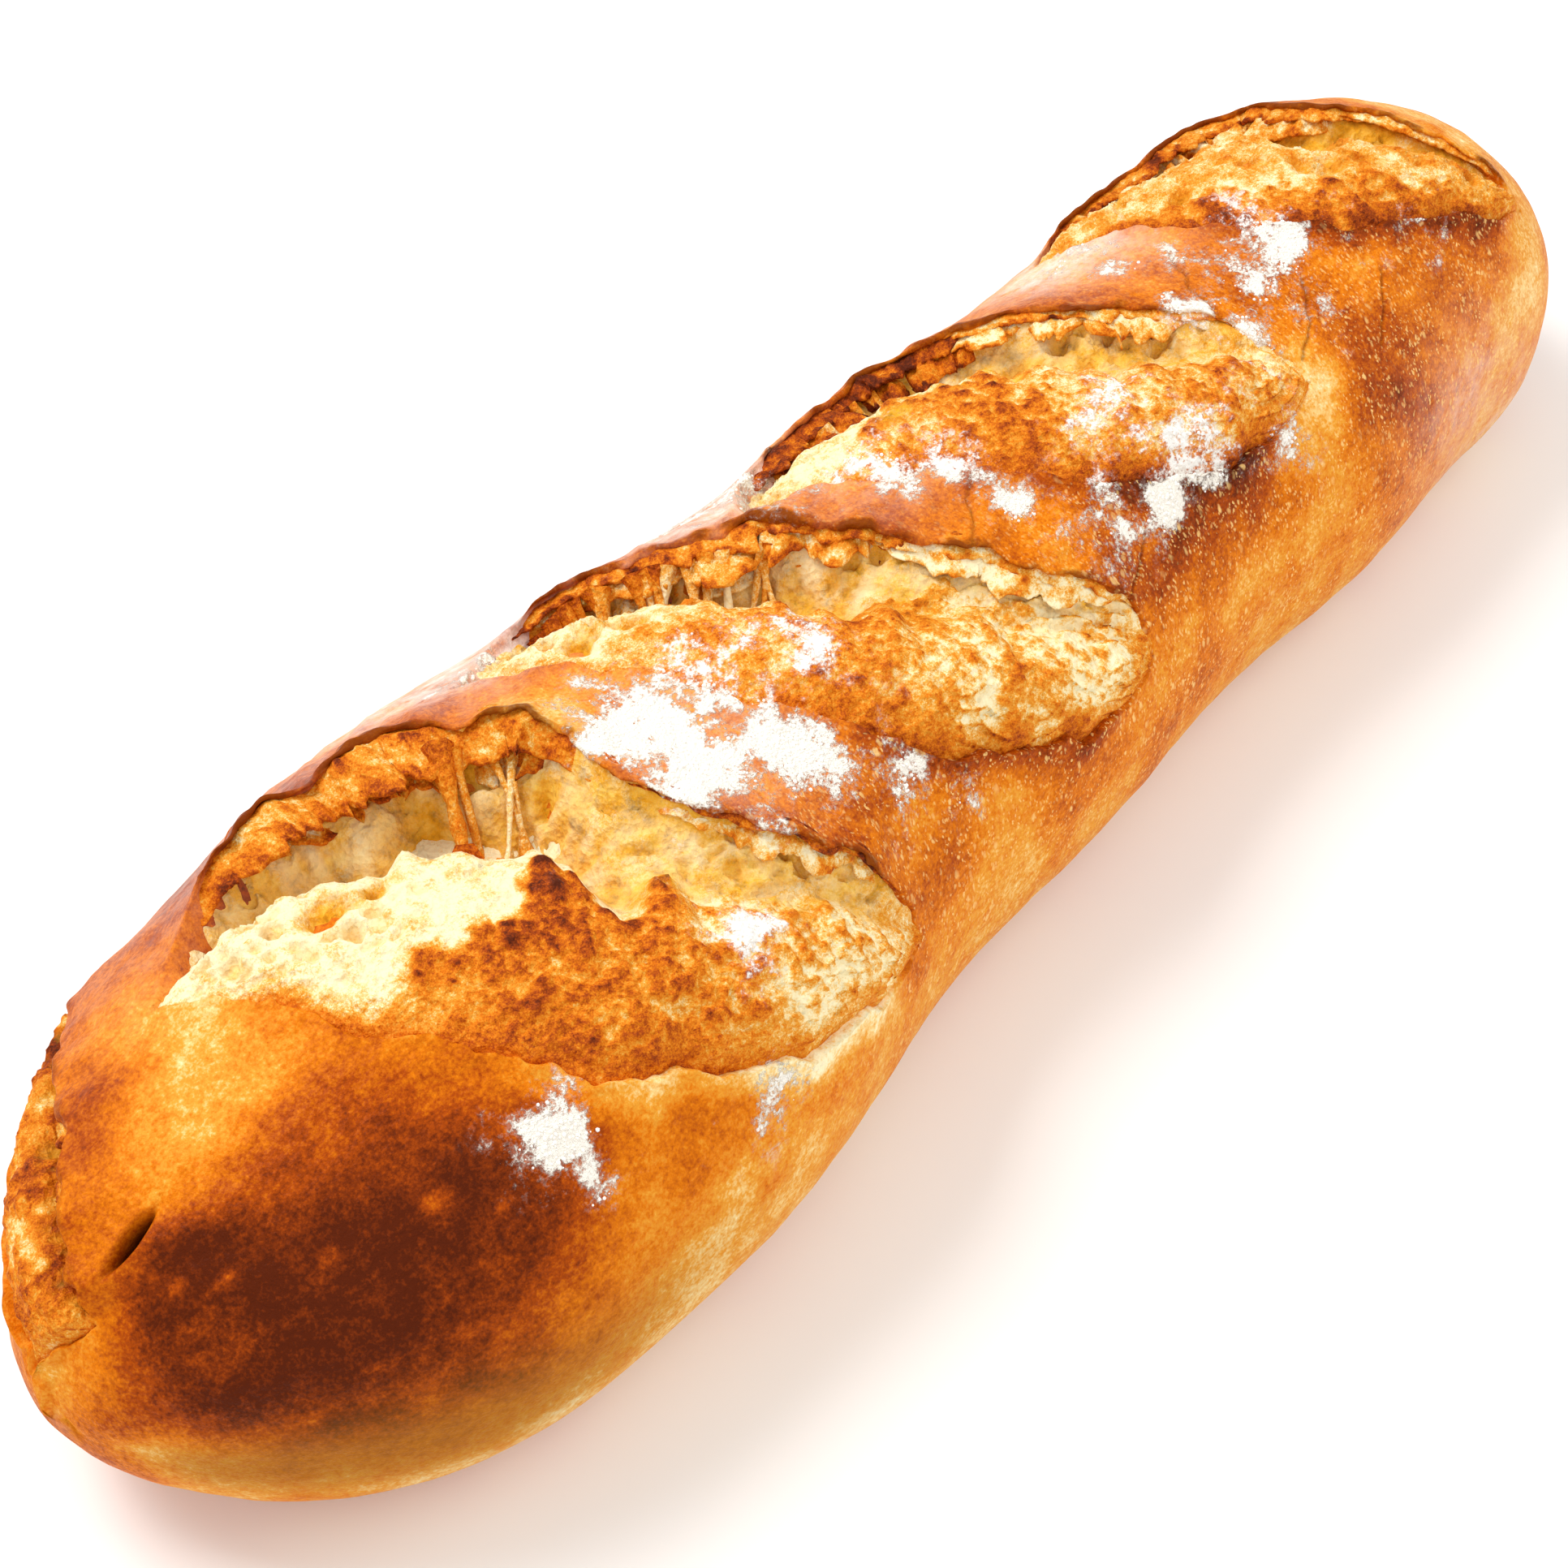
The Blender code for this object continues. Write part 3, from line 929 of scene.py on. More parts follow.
class Toasting:
    """Works out how brown, floury and hazy each place is, the haze being partly painted sheen, and where shade is
    painted on the crust.
    """

    usual = 0.49
    blotchy = 0.15
    grainy = 0.13
    belly_paler = 0.15
    underside_browner = 0.14
    tip_reach = 0.009

    @classmethod
    def off_tips(cls, x: Array) -> Array:
        """1 on the loaf, falling to 0 at its two tips, where all the places round it meet."""
        return smooth_step(0.0, cls.tip_reach, LoafBody.length / 2 - np.abs(x))

    @staticmethod
    def flour_at(x: Array, arc: Array) -> Array:
        """How much flour lies at each place."""
        return np.clip(np.max([patch.at(x, arc) for patch in FLOUR], axis=0), 0.0, 1.0)

    @classmethod
    def baked(cls, x: Array, angle: Array, plain: Array) -> Array:
        """How brown the oven made each place, tears aside.

        Args:
            x: places along the loaf.
            angle: angles round it.
            plain: the points of the plain loaf there.

        Returns:
            Browning from about 0 for straw to 1 for the darkest crust.
        """
        blotch = lumps(plain, BLOTCH_NOISE, 2)
        toast = cls.usual + cls.blotchy * blotch + cls.grainy * lumps(plain, 0.009, 3)
        placed = np.sum([patch.at(x, angle * GIRTH) for patch in BROWN], axis=0)
        placed -= cls.belly_paler * smooth_step(1.15, 1.90, np.abs(angle)) * (1.0 + 0.6 * blotch)
        placed += cls.underside_browner * smooth_step(2.3, 2.7, np.abs(angle))
        return toast + placed * cls.off_tips(x)

    @classmethod
    def of_crust(
        cls, x: Array, angle: Array, plain: Array, lip: Array, crack: Array, browner: Array
    ) -> dict[str, Array]:
        """The values that the crust's finish reads.

        Args:
            x: places along the loaf.
            angle: angles round it.
            plain: the points of the plain loaf there.
            lip: how near each place is to a charred edge.
            crack: how deep in a crack each place is.
            browner: browning that the tears add.

        Returns:
            Named values for each place.
        """
        arc = angle * GIRTH
        blotch = lumps(plain, BLOTCH_NOISE, 2)
        toast = cls.baked(x, angle, plain) + browner
        blobs = np.sum([patch.at(x, arc) for patch in BLISTERS], axis=0)
        toast -= blobs
        # Haze: partly flour film, partly painted sheen; none on the charred lips.
        haze_and_sheen = np.clip(np.sum([patch.at(x, arc) for patch in HAZE_AND_SHEEN], axis=0) * (1.0 + 0.5 * blotch), 0.0, 1.0)
        blister = smooth_step(0.1, 0.7, angle) * smooth_step(2.3, 1.7, angle) * smooth_step(-0.10, -0.02, x)
        back = smooth_step(-0.9, -1.2, angle) * smooth_step(-2.2, -1.6, angle)
        return {
            "toast": np.clip(toast, 0.0, 1.0),
            "flour": cls.flour_at(x, arc),
            "haze_and_sheen": haze_and_sheen * (1.0 - np.clip(1.5 * lip, 0.0, 1.0)),
            "char": lip,
            # Painted shade low on the near end.
            "painted_shade": np.sum([patch.at(x, arc) for patch in PAINTED_SHADE_PATCHES], axis=0) * cls.off_tips(x),
            "crack": crack,
            "blister": np.clip(np.maximum(blister, 0.5 * back) + 0.25 * smooth_step(-0.10, -0.03, x), 0.0, 1.0),
        }


@dataclass
class TornCrumb:
    """The open crumb that rose in one tear, tucked under the crust on every side."""

    body: LoafBody
    tear: Tear
    shift: Array
    spacing: float = 0.00045
    tuck: float = 0.0018
    backing: float = 0.004
    backing_rows: int = 7
    rough_size: float = 0.0085
    fine_size: float = 0.0032
    finest_size: float = 0.0015
    pit_spacing: float = 0.0046
    pit_depth: float = 0.0030
    small_pit_spacing: float = 0.0021
    small_pit_depth: float = 0.0013
    layer_spacing: float = 0.0027
    layer_height: float = 0.0011

    def build(self) -> bpy.types.Object:
        """Makes the crumb as a closed sheet with a coarse back.

        Returns:
            The object.
        """
        tear = self.tear
        count = max(40, int(tear.length / self.spacing))
        share = 0.5 - 0.5 * np.cos(np.linspace(0.0, np.pi, count)) * (1.0 + 2.0 * self.tuck / tear.length)
        mid = np.linspace(0.02, 0.98, 60)
        widest = float(np.max(tear.lip_bulge(mid) + tear.rim_bulge(mid)))
        lanes = max(24, int((widest + 2 * self.tuck) / self.spacing))
        from_rim = np.linspace(0.0, 1.0, lanes)
        low = -tear.rim_bulge(share) - self.tuck
        high = tear.lip_bulge(share) + self.tuck
        beside = low[:, None] + (high - low)[:, None] * from_rim
        run = np.broadcast_to((share * tear.length)[:, None], beside.shape)
        chord = tear.chord
        x = (tear.left[0] + run * chord[0] + beside * chord[1]).ravel()
        arc = (tear.left[1] + run * chord[1] - beside * chord[0]).ravel()
        angle = arc / GIRTH
        plain = self.body.point(x, angle)
        outward, _, _ = self.body.frame_at(x, angle)
        height, backing, values = self._surface(x, angle, plain)
        top = plain + outward * height[:, None] + self.shift
        back = plain + outward * backing[:, None] + self.shift
        return self._closed(top, back, values, count, lanes)

    def _surface(self, x: Array, angle: Array, plain: Array) -> tuple[Array, Array, dict[str, Array]]:
        """The crumb's relief, browning and painted shade.

        Args:
            x: places along the loaf.
            angle: angles round it.
            plain: the points of the plain loaf there.

        Returns:
            Height, height of the back, and named values for each place.
        """
        tear = self.tear
        place = tear.place(x, angle)
        share, across, depth = place.share, place.across, place.depth
        strength, fade = tear.strength(share), tear.near_tip(share)
        wave, wobble = lumps(plain, CRUMB_NOISE, 2), lumps(plain, 0.0045, 2)
        valley = tear.valley(across, wave)
        smooth = tear.crumb_base(place, wave)
        width = np.maximum(place.in_lip + place.in_rim, 4.0 * MM)

        # The browned plate breaks off towards the crevice, with lumps along its broken side
        plate_at = tear.plate + (tear.plate_right - tear.plate) * smooth_step(0.35, 0.65, share)
        plate_at = plate_at * smooth_step(tear.plate_from, tear.plate_to, share)
        plate_end = plate_at + 0.06 * wave + (2.4 * MM * wobble) / width
        inside_plate = (plate_end - across) * width
        edge_blur = 0.6 * MM + 1.4 * MM * smooth_step(0.55, 0.30, share)
        plate = smooth_step(-edge_blur, edge_blur, inside_plate)
        lumpy = np.exp(-(((inside_plate - 2.0 * MM) / (2.2 * MM)) ** 2)) * np.clip(0.1 + 1.9 * wobble, 0.0, 1.0)
        settle = smooth_step(0.0, 3.5 * MM, depth)
        early = smooth_step(0.3 * tear.pale_until, tear.pale_until, share)
        rough, fine = crags(plain, self.rough_size), crags(plain, self.fine_size)
        finest = crags(plain + 0.5, self.finest_size)
        grain = lumps(plain, 0.0011, 2)
        pits = holes(plain, self.pit_spacing, 0.45) ** 0.5
        small_pits = holes(plain + 0.01, self.small_pit_spacing, 0.48) ** 0.5
        ledge, line = self._layers(place, plain)
        crag = tear.crag * early
        on_plate = crag * MM * (2.0 * (rough - 0.45) + 1.3 * lumpy + 0.4) + (0.7 + 0.7 * crag) * MM * (fine - 0.45)
        on_plate += 0.42 * MM * (finest - 0.45)
        off_plate = 0.9 * MM * (rough - 0.45) + 0.7 * MM * (fine - 0.45) + 0.3 * MM * (finest - 0.45)
        in_wall = smooth_step(plate_at + 0.06, plate_at + 0.16, across) * smooth_step(0.995, 0.95, across)
        in_wall = in_wall * smooth_step(0.15, 0.45, strength)
        chosen = smooth_step(-0.25, 0.10, lumps(plain - 0.2, 0.007, 2))
        pits, small_pits = pits * chosen, small_pits * smooth_step(-0.05, 0.2, lumps(plain + 0.4, 0.004))
        off_plate -= (self.pit_depth * pits + self.small_pit_depth * small_pits) * in_wall
        open_bubble = np.zeros_like(x)
        for cavity in (one for one in CAVITIES if one.tear == tear.name):
            inside = cavity.at(x, angle * GIRTH)
            open_bubble = np.maximum(open_bubble, inside)
            off_plate -= cavity.depth * inside
        height = smooth + settle * (plate * on_plate + (1.0 - plate) * off_plate + ledge + 0.28 * MM * grain)
        tucked = np.maximum(-depth, 0.0)
        height -= 1.6 * tucked
        height += self.body.unevenness(plain)
        backing = smooth - self.backing - 1.6 * tucked

        browned = 0.43 + tear.browner + 0.32 * (rough - 0.42) + 0.50 * (fine - 0.42) + 0.42 * (finest - 0.42)
        browned += 0.30 * lumpy * tear.crag + 0.16 * lumps(plain + 0.7, 0.010, 2)
        browned = browned * (0.30 + 0.70 * early) - tear.fairer * smooth_step(0.45, 0.75, share)
        strip = 0.02 + tear.golden * (1.0 + 1.2 * wobble) + 0.14 * (rough - 0.3) + 0.20 * (fine - 0.42)
        strip += 0.16 * smooth_step(0.0, 0.8, 1.0 - strength) * smooth_step(0.4, 0.6, share)
        toast = plate * browned + (1.0 - plate) * strip
        under_lip = smooth_step(0.90, 1.0, across) * strength
        toast += under_lip * (0.25 + 0.35 * wobble)
        skirt = (2.4 + 2.6 * early) * MM
        crusty = 0.95 * np.exp(-((np.maximum(place.in_rim, 0.0) / skirt) ** 2)) * smooth_step(0.0, 0.15, share)
        crusty = crusty * np.clip(1.0 + 0.8 * wobble, 0.0, 1.0)
        baked = Toasting.baked(x, angle, plain) + 0.6 * max(tear.rim_toast, 0.0)
        # The open bubbles are browned as painted shade inside the cavities.
        toast = toast * (1.0 - crusty) + baked * crusty + line + 0.3 * open_bubble * (1.0 - plate)
        # Painted shade: where the crumb lies in the crevice, under the lip, in pits and in cavities.
        wall_shade = smooth_step(0.25, 0.85, valley) * smooth_step(0.1, 0.5, strength)
        wall_shade = np.maximum(wall_shade, 0.85 * smooth_step(tear.crevice_at, tear.crevice_at + 0.08, across))
        wall_shade = wall_shade * (1.0 - 0.8 * plate) * fade * np.clip(0.75 + 0.5 * wobble, 0.0, 1.0)
        pit_shade = 0.9 * np.maximum(pits, 0.7 * small_pits) * in_wall
        values = {
            "toast": np.clip(toast, 0.0, 1.0),
            "flour": 0.85 * Toasting.flour_at(x, angle * GIRTH) * np.maximum(plate, 0.4),
            "shade": np.clip(wall_shade + pit_shade + open_bubble, 0.0, 1.0),
        }
        return height, backing, values

    def _layers(self, place: Place, plain: Array) -> tuple[Array, Array]:
        """Thin curved layers near the right tip, where the crumb peeled open bit by bit.

        Args:
            place: where the points lie in the tear.
            plain: the points of the plain loaf.

        Returns:
            Height and browning of the layers at each place.
        """
        weight = smooth_step(0.48, 0.74, place.share) * smooth_step(0.0, 1.0 * MM, place.depth)
        weight *= smooth_step(15.0 * MM, 8.0 * MM, place.depth) * self.tear.layered
        weight *= np.clip(0.55 + 1.3 * lumps(plain + 0.3, 0.009, 2), 0.0, 1.0)
        phase = place.depth / self.layer_spacing + 1.6 * lumps(plain, 0.016) + 0.30 * lumps(plain, 0.003)
        saw = phase - np.floor(phase)
        line = weight * (0.50 * np.exp(-((saw / 0.10) ** 2)) - 0.22)
        return weight * self.layer_height * (0.5 - saw), line

    def _closed(
        self, top: Array, back: Array, values: dict[str, Array], count: int, lanes: int
    ) -> bpy.types.Object:
        """Joins a fine top and a coarse back into one closed mesh.

        Args:
            top: points of the top, lane by lane along the tear.
            back: points of the back in the same order, of which few lanes are used.
            values: named values for each top point.
            count: points along the tear.
            lanes: points across it.

        Returns:
            The object.
        """
        picked = np.unique(np.linspace(0, lanes - 1, self.backing_rows).astype(int))
        index = np.arange(count * lanes).reshape(count, lanes)
        below = count * lanes + np.arange(count * len(picked)).reshape(count, len(picked))
        points = np.concatenate([top, back.reshape(count, lanes, 3)[:, picked].reshape(-1, 3)])
        quads = np.stack([index[:-1, :-1], index[1:, :-1], index[1:, 1:], index[:-1, 1:]], -1).reshape(-1, 4)
        under = np.stack([below[:-1, :-1], below[:-1, 1:], below[1:, 1:], below[1:, :-1]], -1).reshape(-1, 4)
        faces = quads.tolist() + under.tolist()
        for row in range(count - 1):
            faces.append([index[row, 0], below[row, 0], below[row + 1, 0], index[row + 1, 0]])
            faces.append([index[row, -1], index[row + 1, -1], below[row + 1, -1], below[row, -1]])
        for end, turn in ((0, 1), (count - 1, -1)):
            for step in range(len(picked) - 1):
                upper = index[end, picked[step]:picked[step + 1] + 1].tolist()
                ring = upper + [below[end, step + 1], below[end, step]]
                faces.append([int(i) for i in ring[::turn]])
        full = {label: np.concatenate([v, np.zeros(len(points) - len(v))]) for label, v in values.items()}
        piece = SurfaceMesh.make(f"crumb_{self.tear.name}", points, faces, full)
        shape = bmesh.new()
        shape.from_mesh(piece.data)
        bmesh.ops.triangulate(shape, faces=shape.faces)
        bmesh.ops.recalc_face_normals(shape, faces=shape.faces)
        shape.to_mesh(piece.data)
        shape.free()
        return piece


@dataclass(frozen=True)
class EarLayer:
    """One thin ragged layer that stands out from under a tear's lip."""

    tear: str
    reach: float
    start: float
    drop: float
    first: float
    last: float
    thickness: float = 0.0011
    toast: float = 0.62
    edge_toast: float = 0.98
    ragged: float = 0.30


EAR_LAYERS = (
    EarLayer("wide", 0.0106, 0.0004, 0.0036, 0.05, 0.56, 0.0010, 0.45, 0.74),
    EarLayer("wide", 0.0078, 0.0044, 0.0036, 0.12, 0.58, 0.0010, 0.34, 0.66, 0.55),
    EarLayer("wide", 0.0016, 0.0004, 0.0008, 0.52, 0.94, 0.0006, 0.60, 0.80, 0.30),
    EarLayer("wide", 0.0060, 0.0020, 0.0016, 0.58, 0.90, 0.0006, 0.22, 0.40, 0.35),
    EarLayer("second", 0.0046, 0.0004, 0.0014, 0.04, 0.66, 0.0008, 0.48, 0.72, 0.45),
    EarLayer("second", 0.0066, 0.0016, 0.0026, 0.06, 0.60, 0.0008, 0.34, 0.60, 0.65),
    EarLayer("second", 0.0050, 0.0044, 0.0030, 0.10, 0.50, 0.0008, 0.22, 0.42, 0.80),
    EarLayer("second", 0.0040, 0.0008, 0.0010, 0.46, 0.95, 0.0005, 0.24, 0.50, 0.30),
    EarLayer("second", 0.0078, 0.0016, 0.0014, 0.52, 0.93, 0.0005, 0.14, 0.44, 0.25),
    EarLayer("third", 0.0070, 0.0004, 0.0022, 0.03, 0.52, 0.0010, 0.78, 0.92, 0.50),
    EarLayer("third", 0.0112, 0.0022, 0.0036, 0.07, 0.54, 0.0010, 0.62, 0.88, 0.65),
    EarLayer("third", 0.0036, 0.0004, 0.0012, 0.44, 0.92, 0.0006, 0.34, 0.62, 0.40),
    EarLayer("third", 0.0080, 0.0016, 0.0018, 0.46, 0.88, 0.0006, 0.20, 0.48, 0.50),
    EarLayer("far", 0.0056, 0.0004, 0.0018, 0.04, 0.70, 0.0008, 0.48, 0.72, 0.45),
    EarLayer("far", 0.0115, 0.0018, 0.0034, 0.08, 0.62, 0.0009, 0.32, 0.62, 0.60),
    EarLayer("far", 0.0036, 0.0005, 0.0012, 0.58, 0.94, 0.0006, 0.30, 0.60, 0.35),
    EarLayer("end", 0.0036, 0.0003, 0.0016, 0.08, 0.92, 0.0008, 0.40, 0.60, 0.40),
)


@dataclass
class Ears:
    """The torn layers under every lip, as one closed piece."""

    body: LoafBody
    shift: Array
    spacing: float = 0.0005
    root: float = 0.0016
    top_points: int = 13
    edge_points: int = 3
    under_points: int = 8
    crag_size: float = 0.0045
    flake_size: float = 0.0018

    def build(self) -> bpy.types.Object:
        """Makes all the layers.

        Returns:
            One object that holds them.
        """
        named = {tear.name: tear for tear in TEARS}
        points, faces, values = [], [], {"toast": [], "flour": [], "shade": []}
        for number, layer in enumerate(EAR_LAYERS):
            first = sum(len(part) for part in points)
            spots, shapes, numbers = self._layer(layer, named[layer.tear], number)
            points.append(spots)
            faces += [[first + index for index in shape] for shape in shapes]
            for label, column in numbers.items():
                values[label].append(column)
        joined = {label: np.concatenate(parts) for label, parts in values.items()}
        return SurfaceMesh.make("ears", np.concatenate(points), faces, joined)

    @staticmethod
    def lip_line(tear: Tear, share: Array) -> tuple[Array, Array]:
        """Follows a tear's lip.

        Args:
            tear: the tear.
            share: places along it.

        Returns:
            Places on the lip and the directions from it into the tear, as (x, length round) pairs.
        """
        chord = tear.chord
        normal = np.array([chord[1], -chord[0]])

        def at(where: Array) -> Array:
            """The lip's place at a share of the tear."""
            run, beside = where * tear.length, tear.lip_bulge(where)
            return np.array(tear.left) + run[:, None] * chord + beside[:, None] * normal

        along = at(share + 2e-3) - at(share - 2e-3)
        along = along / np.linalg.norm(along, axis=1, keepdims=True)
        return at(share), np.stack([-along[:, 1], along[:, 0]], axis=1)

    def _layer(self, layer: EarLayer, tear: Tear, number: int) -> tuple[Array, Faces, dict[str, Array]]:
        """Makes one layer.

        Args:
            layer: its sizes.
            tear: the tear that it stands in.
            number: shifts its noise, so that no two layers have the same edge.

        Returns:
            Points, faces and named values.
        """
        count = max(30, int((layer.last - layer.first) * tear.length / self.spacing))
        share = np.linspace(layer.first, layer.last, count)
        ends = np.clip(np.sin(np.pi * (share - layer.first) / (layer.last - layer.first)), 0.0, 1.0) ** 0.6
        place, inward = self.lip_line(tear, share)
        plain = self.body.point(place[:, 0], place[:, 1] / GIRTH)
        offset = np.array([0.37 * number, 0.0, 0.0])
        chop = lumps(plain, LIP_NOISE, 2)
        broken = 1.3 * lumps(plain + offset, 0.007, 2) + 0.9 * lumps(plain + offset, 0.0022, 2)
        broken = broken + 1.2 * (crags(plain + offset, 0.004) - 0.45)
        reach = layer.reach * ends * np.clip(0.80 + layer.ragged * broken, 0.15, 1.5)
        reach *= 0.55 + 0.45 * tear.strength(share)
        thick = layer.thickness * (0.35 + 0.65 * ends)
        lip = tear.lip_top(share, chop) - layer.start * (0.3 + 0.7 * tear.strength(share))

        over = np.linspace(0.0, 1.0, self.top_points)
        turn = np.linspace(0.0, np.pi, self.edge_points + 2)[1:-1]
        back = np.linspace(1.0, 0.0, self.under_points)
        run = self.root + reach
        drop = layer.drop * (0.4 + 0.6 * tear.strength(share))
        top_u = -self.root + run[:, None] * over
        top_h = lip[:, None] - drop[:, None] * over**1.6 - 1.3 * MM * (1.0 - smooth_step(0.0, 0.35, over))
        edge_u = reach[:, None] + 0.5 * thick[:, None] * np.sin(turn)
        edge_h = top_h[:, -1:] - 0.5 * thick[:, None] * (1.0 - np.cos(turn))
        under_u = -self.root + run[:, None] * back
        under_h = lip[:, None] - drop[:, None] * back**1.6 - thick[:, None] * (1.0 + 0.8 * (1.0 - back))
        across = np.concatenate([top_u, edge_u, under_u], axis=1)
        height = np.concatenate([top_h, edge_h, under_h], axis=1)
        lanes = across.shape[1]
        where = place[:, None, :] + across[:, :, None] * inward[:, None, :]
        x, angle = where[..., 0].ravel(), where[..., 1].ravel() / GIRTH
        base = self.body.point(x, angle)
        outward, _, _ = self.body.frame_at(x, angle)
        inner = np.clip(across.ravel() / (1.5 * MM), 0.0, 1.0)
        craggy = crags(base + offset, self.crag_size) - 0.45
        flaky = crags(base + offset, self.flake_size) - 0.45
        stout = min(1.0, layer.thickness / MM)
        rough = inner * stout * MM * (1.1 * craggy + 0.5 * flaky + 0.16 * lumps(base, 0.0010, 2))
        rise = height.ravel() + rough + self.body.unevenness(base)
        points = base + outward * rise[:, None] + self.shift
        index = np.arange(count * lanes).reshape(count, lanes)
        ahead = np.roll(index, -1, axis=1)
        quads = np.stack([index[:-1], ahead[:-1], ahead[1:], index[1:]], axis=-1).reshape(-1, 4)
        faces = quads.tolist() + [index[0, ::-1].tolist(), index[-1].tolist()]
        share_out = np.clip(across / np.maximum(reach[:, None], 1e-4), 0.0, 1.2)
        toast = layer.toast + (0.60 * craggy + 0.35 * flaky).reshape(share_out.shape)
        scorched = np.clip(0.6 + 1.6 * lumps(base + offset, 0.005), 0.0, 1.3).reshape(share_out.shape)
        toast = toast + (layer.edge_toast - layer.toast) * smooth_step(0.70, 1.0, share_out) * scorched
        toast = toast + 0.16 * np.exp(-((across / (1.0 * MM)) ** 2))
        values = {
            "toast": np.clip(toast.ravel(), 0.0, 1.0),
            "flour": 0.5 * Toasting.flour_at(x, angle * GIRTH),
            "shade": np.zeros(count * lanes),
        }
        return points, faces, values


@dataclass(frozen=True)
class StrandGroup:
    """Strands of dough that stretch from under a lip down to the crumb."""

    tear: str
    share: float
    spread: float
    count: int
    radius: float
    toast: float
    slant: float = 0.0
    lift: float = 0.0


STRAND_GROUPS = (
    StrandGroup("wide", 0.372, 0.002, 1, 0.0017, 0.46, 0.0, 0.001),
    StrandGroup("wide", 0.392, 0.002, 1, 0.0010, 0.34, 0.0),
    StrandGroup("wide", 0.425, 0.003, 1, 0.0008, 0.30, 0.005, -0.002),
    StrandGroup("wide", 0.46, 0.02, 2, 0.0008, 0.26, 0.01, -0.002),
    StrandGroup("second", 0.11, 0.05, 8, 0.0012, 0.48, 0.0, 0.0012),
    StrandGroup("second", 0.21, 0.05, 9, 0.0012, 0.34, -0.01, 0.0012),
    StrandGroup("second", 0.31, 0.05, 6, 0.0011, 0.18, -0.01, 0.001),
    StrandGroup("second", 0.40, 0.03, 3, 0.0010, 0.30, 0.0),
    StrandGroup("third", 0.12, 0.05, 6, 0.0010, 0.50, 0.0),
    StrandGroup("third", 0.26, 0.06, 6, 0.0009, 0.24, 0.0),
    StrandGroup("far", 0.30, 0.14, 6, 0.0007, 0.25, 0.0),
)


